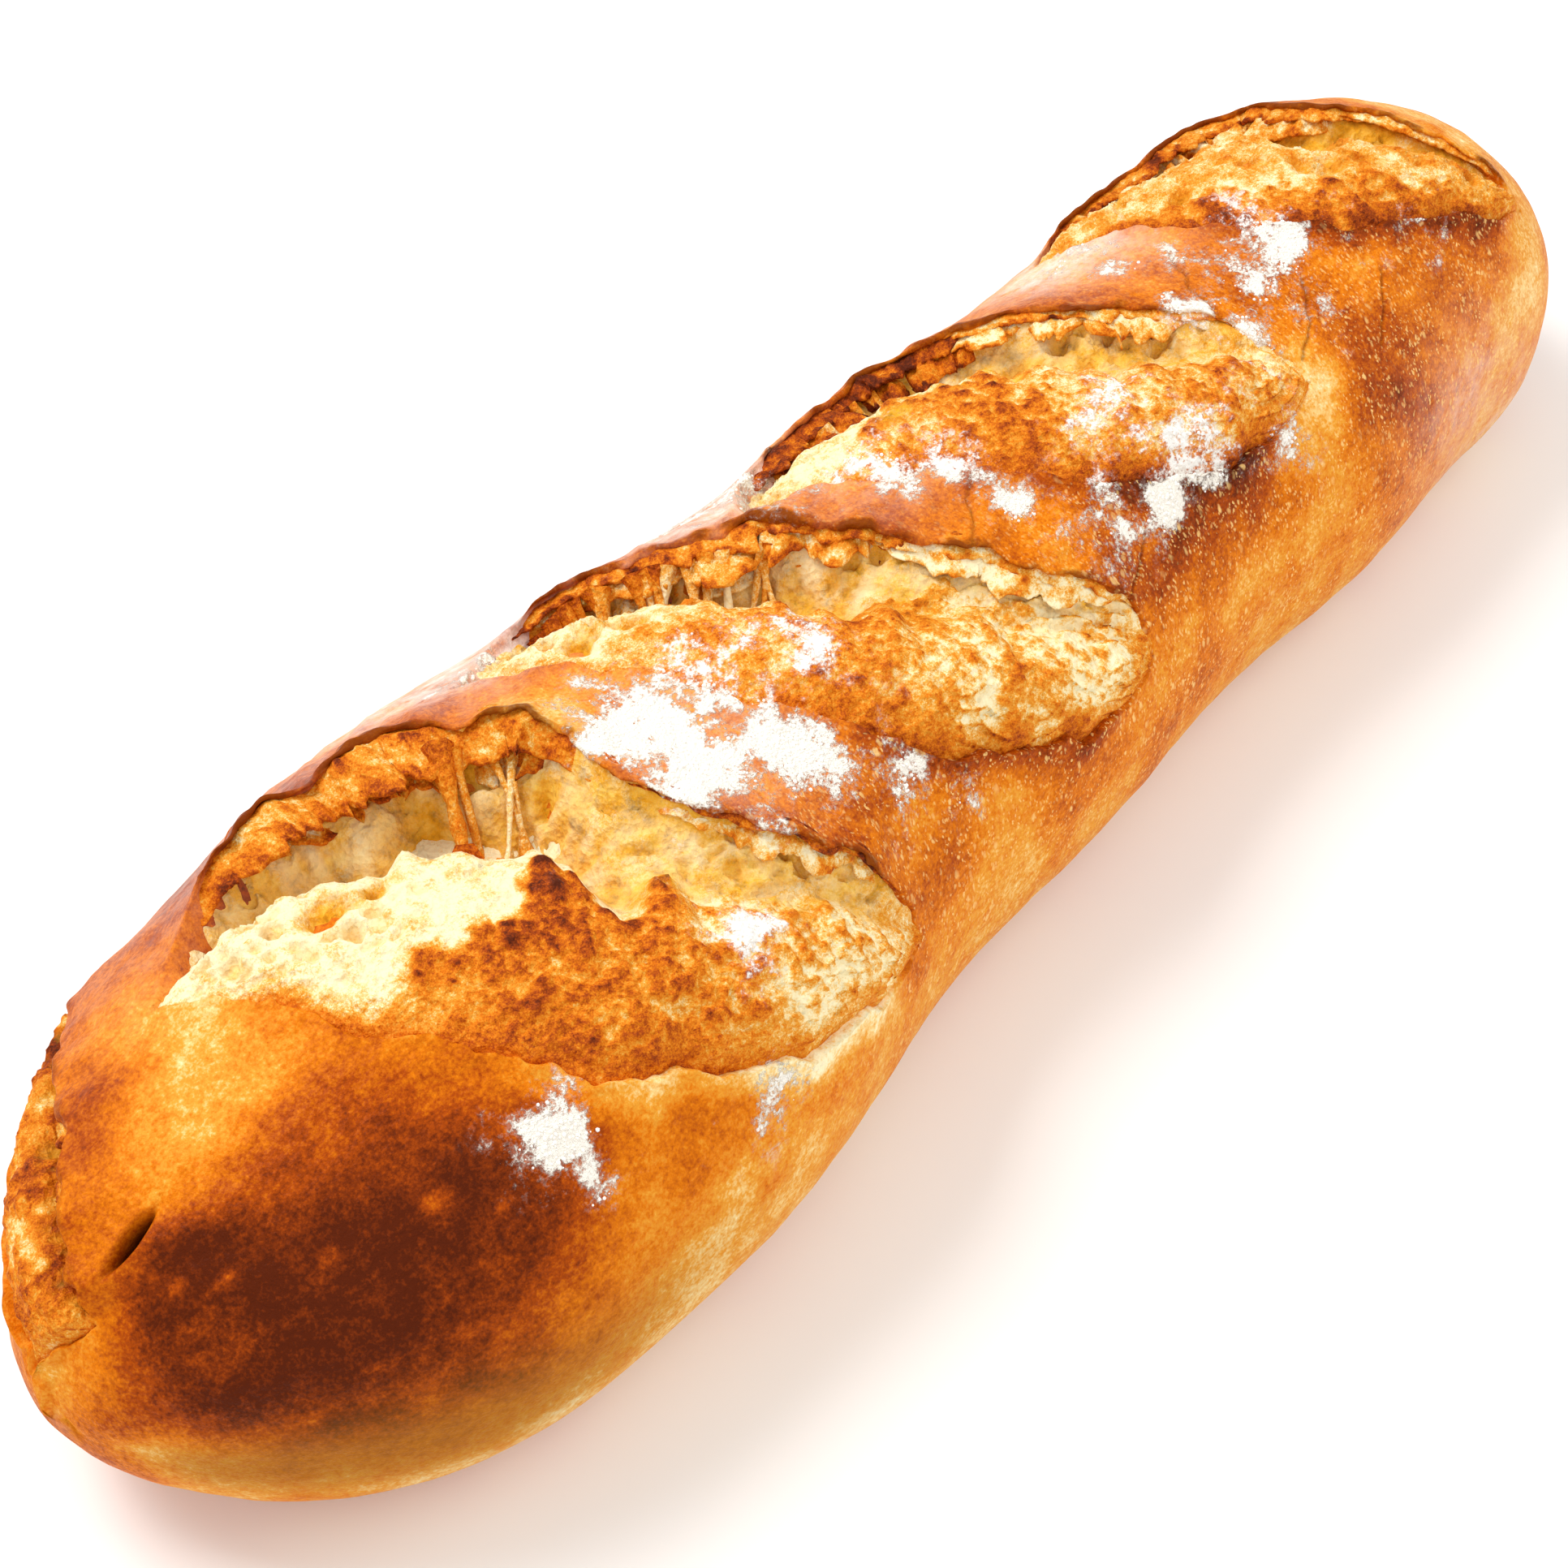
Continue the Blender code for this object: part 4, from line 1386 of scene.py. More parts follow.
@dataclass
class Strands:
    """All the strands, swept along their paths with Geometry Nodes."""

    body: LoafBody
    shift: Array
    sides: int = 6
    steps: int = 9

    def build(self, material: bpy.types.Material) -> bpy.types.Object:
        """Makes the strands as one mesh.

        Args:
            material: their finish.

        Returns:
            The object.
        """
        named = {tear.name: tear for tear in TEARS}
        chance = np.random.default_rng(SEED)
        rows, edges, radii, toasts = [], [], [], []
        for group in STRAND_GROUPS:
            for _ in range(group.count):
                path, thin = self._path(group, named[group.tear], chance)
                first = len(rows)
                rows += path.tolist()
                radii += (group.radius * thin).tolist()
                toasts += np.clip(group.toast + chance.normal(0.0, 0.08) + 0.25 * thin - 0.2, 0.0, 1.0).tolist()
                edges += [(first + step, first + step + 1) for step in range(len(path) - 1)]
        mesh = bpy.data.meshes.new("strand_paths")
        mesh.from_pydata(rows, edges, [])
        for label, numbers in (("radius_m", radii), ("toast", toasts)):
            mesh.attributes.new(label, "FLOAT", "POINT").data.foreach_set("value", numbers)
        paths = bpy.data.objects.new("strand_paths", mesh)
        bpy.context.scene.collection.objects.link(paths)
        return NodeShape.apply(paths, self._tree(), {"Sides": self.sides, "Finish": material}, "strands")

    def _path(self, group: StrandGroup, tear: Tear, chance: np.random.Generator) -> tuple[Array, Array]:
        """Lays one strand from under the lip down to the crumb.

        Args:
            group: the strand's sizes.
            tear: the tear that it stands in.
            chance: where its random numbers come from.

        Returns:
            Its points, and how thick it is at each as a share of its radius.
        """
        share = group.share + chance.uniform(-group.spread, group.spread)
        place, inward = Ears.lip_line(tear, np.array([share]))
        start, into = place[0], inward[0]
        width = float(tear.lip_bulge(np.array([share]))[0] + tear.rim_bulge(np.array([share]))[0])
        along = np.array([into[1], -into[0]])
        along = along * np.sign(along @ tear.chord)
        far = (1.0 - tear.crevice_at + 0.4 * tear.crevice_spread) * width * chance.uniform(0.9, 1.3)
        slide = (group.slant + chance.normal(0.0, 0.012)) * tear.length
        step = np.linspace(0.0, 1.0, self.steps)
        reach = 3.5 * MM + (far - 3.5 * MM) * step
        where = start + reach[:, None] * into + (slide * step**1.3)[:, None] * along
        x, angle = where[:, 0], where[:, 1] / GIRTH
        plain = self.body.point(x, angle)
        outward, _, _ = self.body.frame_at(x, angle)
        spot = tear.place(x, angle)
        wave = lumps(plain, CRUMB_NOISE, 2)
        floor = tear.crumb_base(spot, wave) - 0.8 * MM
        high = float(tear.lip_top(np.array([share]), np.zeros(1))[0]) - 4.0 * MM + group.lift
        bend = high * (1.0 - step) ** 1.0 + floor * step - chance.uniform(0.5, 2.0) * MM * np.sin(np.pi * step)
        jitter = 0.7 * MM * lumps(plain + share, 0.004, 2)
        height = np.maximum(bend, floor) + jitter + self.body.unevenness(plain)
        thin = 0.5 + 1.1 * (2.0 * step - 1.0) ** 2 + 0.35 * lumps(plain - share, 0.003)
        return plain + outward * height[:, None] + self.shift, np.clip(thin, 0.35, 1.8)

    def _tree(self) -> bpy.types.NodeTree:
        """Sweeps a ring along every path, as thick as the path says.

        Returns:
            The Geometry Nodes tree.
        """
        tree = bpy.data.node_groups.new("sweep_strands", "GeometryNodeTree")
        tree.interface.new_socket("Geometry", in_out="INPUT", socket_type=Socket.SHAPE.value)
        tree.interface.new_socket("Sides", in_out="INPUT", socket_type=Socket.COUNT.value)
        tree.interface.new_socket("Finish", in_out="INPUT", socket_type=Socket.MATERIAL.value)
        tree.interface.new_socket("Geometry", in_out="OUTPUT", socket_type=Socket.SHAPE.value)
        graph = Graph(tree)
        given = graph.add("NodeGroupInput").outputs
        radius = graph.add("GeometryNodeInputNamedAttribute", {"Name": "radius_m"}).outputs["Attribute"]
        curve = graph.add("GeometryNodeMeshToCurve", {0: given["Geometry"]}).outputs[0]
        round_ring = {"Resolution": given["Sides"], "Radius": 1.0}
        ring = graph.add("GeometryNodeCurvePrimitiveCircle", round_ring).outputs[0]
        sweep = {"Curve": curve, "Profile Curve": ring, "Fill Caps": True}
        probe = tree.nodes.new("GeometryNodeCurveToMesh")
        scaled = "Scale" in probe.inputs
        tree.nodes.remove(probe)
        if scaled:
            sweep["Scale"] = radius
        else:
            sweep["Curve"] = graph.add("GeometryNodeSetCurveRadius", {"Curve": curve, "Radius": radius}).outputs[0]
        swept = graph.add("GeometryNodeCurveToMesh", sweep).outputs[0]
        smooth = graph.add("GeometryNodeSetShadeSmooth", {0: swept}).outputs[0]
        solid = graph.add("GeometryNodeRealizeInstances", {0: smooth}).outputs[0]
        dressed = graph.add("GeometryNodeSetMaterial", {"Geometry": solid, "Material": given["Finish"]}).outputs[0]
        tree.links.new(dressed, graph.add("NodeGroupOutput").inputs[0])
        return tree


class NodeShape:
    """Runs a Geometry Nodes tree and keeps its result as a plain mesh."""

    @staticmethod
    def apply(source: bpy.types.Object, tree: bpy.types.NodeTree, inputs: dict, name: str) -> bpy.types.Object:
        """Evaluates a tree on an object.

        Args:
            source: the object that the tree starts from, removed afterwards.
            tree: the Geometry Nodes tree.
            inputs: values for the tree's named inputs.
            name: the new object's name.

        Returns:
            The new object.
        """
        modifier = source.modifiers.new(name, "NODES")
        modifier.node_group = tree
        for socket in tree.interface.items_tree:
            if socket.in_out == "INPUT" and socket.name in inputs:
                modifier[socket.identifier] = inputs[socket.name]
        source.update_tag()
        graph = bpy.context.evaluated_depsgraph_get()
        graph.update()
        mesh = bpy.data.meshes.new_from_object(source.evaluated_get(graph), depsgraph=graph)
        mesh.name = name
        piece = bpy.data.objects.new(name, mesh)
        bpy.context.scene.collection.objects.link(piece)
        source.modifiers.remove(modifier)
        bpy.data.objects.remove(source)
        return piece


@dataclass
class FlourClumps:
    """Clumps of flour that lie on crust and crumb, scattered with Geometry Nodes."""

    density: float = 2.6e6
    size: float = 0.00030

    def build(self, carriers: list[bpy.types.Object], material: bpy.types.Material) -> bpy.types.Object:
        """Scatters the clumps.

        Args:
            carriers: the pieces that the flour lies on.
            material: the flour's finish.

        Returns:
            One object with all the clumps.
        """
        points, faces, amounts = [], [], []
        for carrier in carriers:
            mesh = carrier.data
            co = np.empty(len(mesh.vertices) * 3)
            mesh.vertices.foreach_get("co", co)
            flour = np.empty(len(mesh.vertices), dtype=np.float32)
            mesh.attributes["flour"].data.foreach_get("value", flour)
            corners = np.array([list(face.vertices)[:3] for face in mesh.polygons if len(face.vertices) < 5])
            corners = corners[flour[corners].max(axis=1) > 0.3]
            faces.append(corners + sum(len(part) for part in points))
            points.append(co.reshape(-1, 3))
            amounts.append(flour)
        triangles = np.concatenate(faces)
        used, inverse = np.unique(triangles, return_inverse=True)
        carrier = SurfaceMesh.make(
            "floury", np.concatenate(points)[used], inverse.reshape(-1, 3).tolist(),
            {"flour": np.concatenate(amounts)[used]},
        )
        inputs = {"Density": self.density, "Size": self.size, "Finish": material, "Seed": SEED}
        return NodeShape.apply(carrier, self._tree(), inputs, "flour")

    def _tree(self) -> bpy.types.NodeTree:
        """Scatters small uneven balls where the flour lies thick.

        Returns:
            The Geometry Nodes tree.
        """
        tree = bpy.data.node_groups.new("scatter_flour", "GeometryNodeTree")
        kinds = {"Geometry": Socket.SHAPE, "Density": Socket.VALUE, "Size": Socket.VALUE}
        kinds |= {"Seed": Socket.COUNT, "Finish": Socket.MATERIAL}
        for label, kind in kinds.items():
            tree.interface.new_socket(label, in_out="INPUT", socket_type=kind.value)
        tree.interface.new_socket("Geometry", in_out="OUTPUT", socket_type=Socket.SHAPE.value)
        graph = Graph(tree)
        given = graph.add("NodeGroupInput").outputs
        flour = graph.add("GeometryNodeInputNamedAttribute", {"Name": "flour"}).outputs["Attribute"]
        place = graph.add("GeometryNodeInputPosition").outputs[0]
        clot = graph.noise(place, 300.0, 2.0, 0.6)
        blot = graph.noise(place, 120.0, 2.0, 0.5)
        amount = graph.math("MULTIPLY_ADD", graph.math("SUBTRACT", clot, 0.5), 2.4, flour)
        amount = graph.math("MULTIPLY_ADD", graph.math("SUBTRACT", blot, 0.5), 2.0, amount)
        amount = graph.math("MULTIPLY", graph.math("SUBTRACT", amount, 0.55), 2.0, clamp=True)
        density = graph.math("MULTIPLY", amount, given["Density"])
        spread = graph.add(
            "GeometryNodeDistributePointsOnFaces",
            {"Mesh": given["Geometry"], "Density": density, "Seed": given["Seed"]},
        )
        ball = graph.add("GeometryNodeMeshIcoSphere", {"Radius": 1.0, "Subdivisions": 1}).outputs[0]
        small = graph.math("MULTIPLY", given["Size"], 0.35)
        large = graph.math("MULTIPLY", given["Size"], 1.25)
        size = graph.add("FunctionNodeRandomValue", data_type="FLOAT")
        tree.links.new(small, size.inputs[2])
        tree.links.new(large, size.inputs[3])
        turn = graph.add("FunctionNodeRandomValue", data_type="FLOAT_VECTOR")
        turn.inputs[1].default_value = (6.28, 6.28, 6.28)
        balls = graph.add(
            "GeometryNodeInstanceOnPoints",
            {"Points": spread.outputs[0], "Instance": ball, "Rotation": turn.outputs[0], "Scale": size.outputs[1]},
        ).outputs[0]
        solid = graph.add("GeometryNodeRealizeInstances", {0: balls}).outputs[0]
        dressed = graph.add("GeometryNodeSetMaterial", {"Geometry": solid, "Material": given["Finish"]}).outputs[0]
        tree.links.new(dressed, graph.add("NodeGroupOutput").inputs[0])
        return tree


class Socket(Enum):
    """Kinds of node group sockets."""

    VALUE = "NodeSocketFloat"
    COLOUR = "NodeSocketColor"
    VECTOR = "NodeSocketVector"
    SHAPE = "NodeSocketGeometry"
    MATERIAL = "NodeSocketMaterial"
    COUNT = "NodeSocketInt"


class Graph:
    """A short way to write node trees."""

    def __init__(self, tree: bpy.types.NodeTree) -> None:
        """Wraps a tree."""
        self.tree = tree

    def add(self, kind: str, inputs: dict | None = None, **settings: object) -> bpy.types.Node:
        """Adds a node.

        Args:
            kind: the node's type name.
            inputs: input index or name to a value or to an output socket.
            settings: properties of the node.

        Returns:
            The node.
        """
        node = self.tree.nodes.new(kind)
        for key, value in settings.items():
            setattr(node, key, value)
        for key, value in (inputs or {}).items():
            if isinstance(value, bpy.types.NodeSocket):
                self.tree.links.new(value, node.inputs[key])
            else:
                node.inputs[key].default_value = value
        return node

    def math(
        self, operation: str, first: Feed, second: Feed = 0.0, third: Feed = 0.0, clamp: bool = False
    ) -> bpy.types.NodeSocket:
        """A Math node's output."""
        inputs = {0: first, 1: second, 2: third}
        return self.add("ShaderNodeMath", inputs, operation=operation, use_clamp=clamp).outputs[0]

    def ramp(self, value: Feed, stops: tuple[tuple[float, Colour], ...]) -> bpy.types.NodeSocket:
        """A colour ramp.

        Args:
            value: what it reads.
            stops: places on it with their colours, from low to high.

        Returns:
            Its colour output.
        """
        node = self.add("ShaderNodeValToRGB", {0: value})
        band = node.color_ramp.elements
        for number, (place, colour) in enumerate(stops):
            element = band[number] if number < 2 else band.new(place)
            element.position, element.color = place, (*colour, 1.0)
        return node.outputs[0]

    def blend(
        self, share: Feed, first: Colour | bpy.types.NodeSocket, second: Colour | bpy.types.NodeSocket
    ) -> bpy.types.NodeSocket:
        """Mixes two colours.

        Args:
            share: how much of the second shows.
            first: a colour or an output socket.
            second: a colour or an output socket.

        Returns:
            The mixed colour.
        """
        node = self.add("ShaderNodeMix", data_type="RGBA")
        for key, value in ((0, share), (6, first), (7, second)):
            if isinstance(value, bpy.types.NodeSocket):
                self.tree.links.new(value, node.inputs[key])
            else:
                node.inputs[key].default_value = value if key == 0 else (*value, 1.0)
        return node.outputs[2]

    def value(self, name: str) -> bpy.types.NodeSocket:
        """A named value of the mesh."""
        return self.add("ShaderNodeAttribute", attribute_name=name).outputs["Fac"]

    def noise(
        self, where: bpy.types.NodeSocket, scale: Feed, detail: float = 3.0, rough: float = 0.55
    ) -> bpy.types.NodeSocket:
        """A noise texture's value."""
        inputs = {"Vector": where, "Scale": scale, "Detail": detail, "Roughness": rough}
        return self.add("ShaderNodeTexNoise", inputs).outputs[0]


class SharedEffects:
    """Shader node groups that more than one finish uses."""

    mottle_layers = ((90.0, 0.26), (330.0, 0.28), (900.0, 0.42), (2000.0, 0.40))

    def __init__(self) -> None:
        """Builds the groups."""
        self.flour = self._flour()
        self.mottle = self._mottle()
        self.baking = self._baking()

    def mottled(self, graph: Graph, where: bpy.types.NodeSocket, fineness: float) -> bpy.types.NodeSocket:
        """Adds uneven browning to a finish.

        Args:
            graph: the finish's graph.
            where: the object coordinates.
            fineness: how fine its grain is, 1 for the crust.

        Returns:
            Its value.
        """
        node = graph.add("ShaderNodeGroup", node_tree=self.mottle)
        graph.tree.links.new(where, node.inputs["Place"])
        node.inputs["Fineness"].default_value = fineness
        return node.outputs["Value"]

    def baked(self, graph: Graph, toast: bpy.types.NodeSocket) -> bpy.types.NodeSocket:
        """Adds the colour of baked dough to a finish.

        Args:
            graph: the finish's graph.
            toast: how far the dough is baked.

        Returns:
            The colour.
        """
        node = graph.add("ShaderNodeGroup", {}, node_tree=self.baking)
        graph.tree.links.new(toast, node.inputs["Toast"])
        return node.outputs["Colour"]

    def dusted(self, graph: Graph, where: bpy.types.NodeSocket) -> bpy.types.Node:
        """Adds flour to a finish.

        Args:
            graph: the finish's graph.
            where: the object coordinates.

        Returns:
            The node, with the flour's mask and height.
        """
        node = graph.add("ShaderNodeGroup", node_tree=self.flour)
        graph.tree.links.new(where, node.inputs["Place"])
        graph.tree.links.new(graph.value("flour"), node.inputs["Amount"])
        return node

    @staticmethod
    def _start(name: str, inputs: dict[str, Socket], outputs: dict[str, Socket]) -> tuple[Graph, dict, dict]:
        """Makes an empty group with named sockets.

        Args:
            name: the group's name.
            inputs: its input sockets.
            outputs: its output sockets.

        Returns:
            Its graph, the sockets that it is given and those that it puts out.
        """
        tree = bpy.data.node_groups.new(name, "ShaderNodeTree")
        for label, kind in inputs.items():
            tree.interface.new_socket(label, in_out="INPUT", socket_type=kind.value)
        for label, kind in outputs.items():
            tree.interface.new_socket(label, in_out="OUTPUT", socket_type=kind.value)
        graph = Graph(tree)
        return graph, graph.add("NodeGroupInput").outputs, graph.add("NodeGroupOutput").inputs

    def _flour(self) -> bpy.types.NodeTree:
        """Grainy flour where the amount is high.

        Returns:
            The group, which puts out a mask and a height.
        """
        sockets = {"Place": Socket.VECTOR, "Amount": Socket.VALUE}
        graph, given, out = self._start("flour_dust", sockets, {"Mask": Socket.VALUE, "Height": Socket.VALUE})
        grain = graph.noise(given["Place"], 1500.0, 2.0, 0.7)
        clot = graph.noise(given["Place"], 420.0, 3.0, 0.6)
        blot = graph.noise(given["Place"], 120.0, 2.0, 0.5)
        total = graph.math("MULTIPLY_ADD", given["Amount"], 1.35, -0.62)
        total = graph.math("MULTIPLY_ADD", graph.math("SUBTRACT", grain, 0.5), 1.3, total)
        total = graph.math("MULTIPLY_ADD", graph.math("SUBTRACT", clot, 0.5), 1.7, total)
        total = graph.math("MULTIPLY_ADD", graph.math("SUBTRACT", blot, 0.5), 2.2, total)
        thick = graph.math("MULTIPLY", graph.math("ADD", total, 0.13), 3.0, clamp=True)
        film = graph.math("MULTIPLY", graph.math("ADD", total, 0.32), 0.50, clamp=True)
        wide = graph.math("MAXIMUM", thick, graph.math("MINIMUM", film, 0.09))
        here = graph.math("MULTIPLY", given["Amount"], 6.0, clamp=True)
        mask = graph.math("MULTIPLY", wide, here)
        graph.tree.links.new(mask, out["Mask"])
        graph.tree.links.new(graph.math("MULTIPLY", mask, grain), out["Height"])
        return graph.tree

    def _mottle(self) -> bpy.types.NodeTree:
        """Uneven browning at four sizes, around 0.

        Returns:
            The group.
        """
        sockets = {"Place": Socket.VECTOR, "Fineness": Socket.VALUE}
        graph, given, out = self._start("mottle", sockets, {"Value": Socket.VALUE})
        total: Feed = 0.0
        for scale, weight in self.mottle_layers:
            sized = graph.math("MULTIPLY", given["Fineness"], scale)
            layer = graph.noise(given["Place"], sized, 3.0, 0.6)
            total = graph.math("MULTIPLY_ADD", graph.math("SUBTRACT", layer, 0.5), weight, total)
        graph.tree.links.new(total, out["Value"])
        return graph.tree

    def _baking(self) -> bpy.types.NodeTree:
        """Dough's colour by how far it is baked, from cream crumb to the darkest crust.

        Returns:
            The group.
        """
        graph, given, out = self._start("baking", {"Toast": Socket.VALUE}, {"Colour": Socket.COLOUR})
        stops = tuple((shade.value[0], shade.value[1:]) for shade in Baked)
        graph.tree.links.new(graph.ramp(given["Toast"], stops), out["Colour"])
        return graph.tree


class Baked(Enum):
    """Places on the scale of baking, each with its colour."""

    CREAM = (0.02, 0.95, 0.83, 0.52)
    BUTTER = (0.13, 0.90, 0.62, 0.24)
    GOLD = (0.29, 0.80, 0.34, 0.032)
    AMBER = (0.48, 0.71, 0.180, 0.002)
    BROWN = (0.70, 0.39, 0.060, 0.001)
    UMBER = (0.86, 0.19, 0.026, 0.001)
    DARK = (1.00, 0.09, 0.012, 0.001)


@dataclass(frozen=True)
class Finish:
    """Base of the loaf's finishes."""

    name: str
    roughness: float

    def start(self) -> tuple[bpy.types.Material, Graph, bpy.types.Node, bpy.types.NodeSocket]:
        """Makes an empty material.

        Returns:
            The material, its graph, its shader and the object coordinates.
        """
        material = bpy.data.materials.new(self.name)
        material.use_nodes = True
        graph = Graph(material.node_tree)
        shader = material.node_tree.nodes["Principled BSDF"]
        shader.inputs["Roughness"].default_value = self.roughness
        return material, graph, shader, graph.add("ShaderNodeTexCoord").outputs["Object"]


@dataclass(frozen=True)
class CrustFinish(Finish):
    """Baked crust, from straw to chocolate brown, with blisters, char and flour, a haze that is partly painted
    sheen, and painted shade low on the near end and in cracks.
    """

    char: Colour = (0.17, 0.030, 0.001)
    # Near-black painted shade inside the cracks and the slit.
    crack_shade: Colour = (0.045, 0.007, 0.001)
    # Colour of the painted shade low on the near end.
    painted_shade: Colour = (0.27, 0.115, 0.008)
    # Colour of the haze, partly flour film and partly painted sheen.
    haze_and_sheen: Colour = (0.95, 0.84, 0.77)
    blister: Colour = (0.92, 0.58, 0.20)
    flour: Colour = (0.95, 0.89, 0.79)
    mottling: float = 1.05
    painted_shade_share: float = 0.6
    haze_and_sheen_share: float = 0.92
    blister_share: float = 0.85
    char_share: float = 0.85
    crack_shade_share: float = 0.38
    bumpiness: float = 0.8
    bump_height: float = 0.0010
    sheen: float = 0.06
    spot_layers: tuple[tuple[float, float, float], ...] = (
        (330.0, 0.25, 0.47),
        (640.0, 0.29, 0.43),
        (1100.0, 0.32, 0.42),
    )

    def build(self, effects: SharedEffects) -> bpy.types.Material:
        """Makes the material.

        Args:
            effects: the node groups that finishes share.

        Returns:
            The material.
        """
        material, graph, shader, where = self.start()
        mottle = effects.mottled(graph, where, 1.0)
        toast = graph.math("MULTIPLY_ADD", mottle, self.mottling, graph.value("toast"))
        colour = effects.baked(graph, toast)
        # Painted shade: darkens the low near end towards olive-brown.
        painted_shade_amount = graph.math("MULTIPLY", graph.value("painted_shade"), self.painted_shade_share, clamp=True)
        colour = graph.blend(painted_shade_amount, colour, self.painted_shade)
        # Haze in streaks: partly flour film, partly painted sheen.
        streaks = graph.math("MULTIPLY_ADD", graph.noise(where, 260.0, 4.0, 0.7), 2.0, -0.45, clamp=True)
        haze_and_sheen_amount = graph.math("MULTIPLY", graph.value("haze_and_sheen"), streaks, clamp=True)
        colour = graph.blend(graph.math("MULTIPLY", haze_and_sheen_amount, self.haze_and_sheen_share), colour, self.haze_and_sheen)
        spot = self._spots(graph, where)
        colour = graph.blend(graph.math("MULTIPLY", spot, self.blister_share), colour, self.blister)
        burnt = graph.math("SUBTRACT", graph.noise(where, 520.0, 3.0, 0.7), 0.5)
        char = graph.math("MULTIPLY_ADD", burnt, 1.2, graph.value("char"))
        char = graph.math("MULTIPLY", graph.math("SUBTRACT", char, 0.25), 1.5, clamp=True)
        colour = graph.blend(graph.math("MULTIPLY", char, self.char_share), colour, self.char)
        # Painted shade inside the cracks and the slit.
        crack_shade_amount = graph.math("MULTIPLY", graph.value("crack"), self.crack_shade_share, clamp=True)
        colour = graph.blend(crack_shade_amount, colour, self.crack_shade)
        dust = effects.dusted(graph, where)
        colour = graph.blend(dust.outputs["Mask"], colour, self.flour)
        graph.tree.links.new(colour, shader.inputs["Base Color"])
        rough = graph.math("MULTIPLY_ADD", dust.outputs["Mask"], 0.40, self.roughness)
        rough = graph.math("MULTIPLY_ADD", mottle, 0.25, rough, clamp=True)
        graph.tree.links.new(rough, shader.inputs["Roughness"])
        skin = graph.math("MULTIPLY", graph.noise(where, 700.0, 3.0, 0.65), 0.5)
        skin = graph.math("MULTIPLY_ADD", dust.outputs["Height"], 0.9, skin)
        skin = graph.math("MULTIPLY_ADD", graph.noise(where, 160.0, 2.0, 0.5), 0.9, skin)
        relief = {"Strength": self.bumpiness, "Distance": self.bump_height, "Height": skin}
        bump = graph.add("ShaderNodeBump", relief)
        graph.tree.links.new(bump.outputs[0], shader.inputs["Normal"])
        shader.inputs["Specular IOR Level"].default_value = self.sheen
        return material

    def _spots(self, graph: Graph, where: bpy.types.NodeSocket) -> bpy.types.NodeSocket:
        """Small pale blisters of three sizes.

        Args:
            graph: the finish's graph.
            where: the object coordinates.

        Returns:
            1 on a blister and 0 off it.
        """
        bend = graph.add("ShaderNodeTexNoise", {"Vector": where, "Scale": 420.0, "Detail": 2.0}).outputs["Color"]
        shove = {0: bend, 1: (0.0016, 0.0016, 0.0016), 2: where}
        bent = graph.add("ShaderNodeVectorMath", shove, operation="MULTIPLY_ADD")
        stretch = graph.add("ShaderNodeMapping", {"Vector": bent.outputs[0], "Scale": (1.4, 0.8, 0.8)}).outputs[0]
        spot: Feed = 0.0
        for cell, radius, least in self.spot_layers:
            cells = graph.add("ShaderNodeTexVoronoi", {"Vector": stretch, "Scale": cell, "Randomness": 1.0})
            inside = graph.math("SUBTRACT", radius, cells.outputs["Distance"])
            dots = graph.math("MULTIPLY", inside, 8.0, clamp=True)
            chosen = graph.math("GREATER_THAN", graph.noise(where, cell * 0.55, 1.0), least)
            spot = graph.math("MAXIMUM", graph.math("MULTIPLY", dots, chosen), spot)
        faded = graph.math("MULTIPLY_ADD", graph.noise(where, 210.0, 3.0, 0.7), 3.2, -1.0, clamp=True)
        return graph.math("MULTIPLY", graph.math("MULTIPLY", spot, faded), graph.value("blister"))


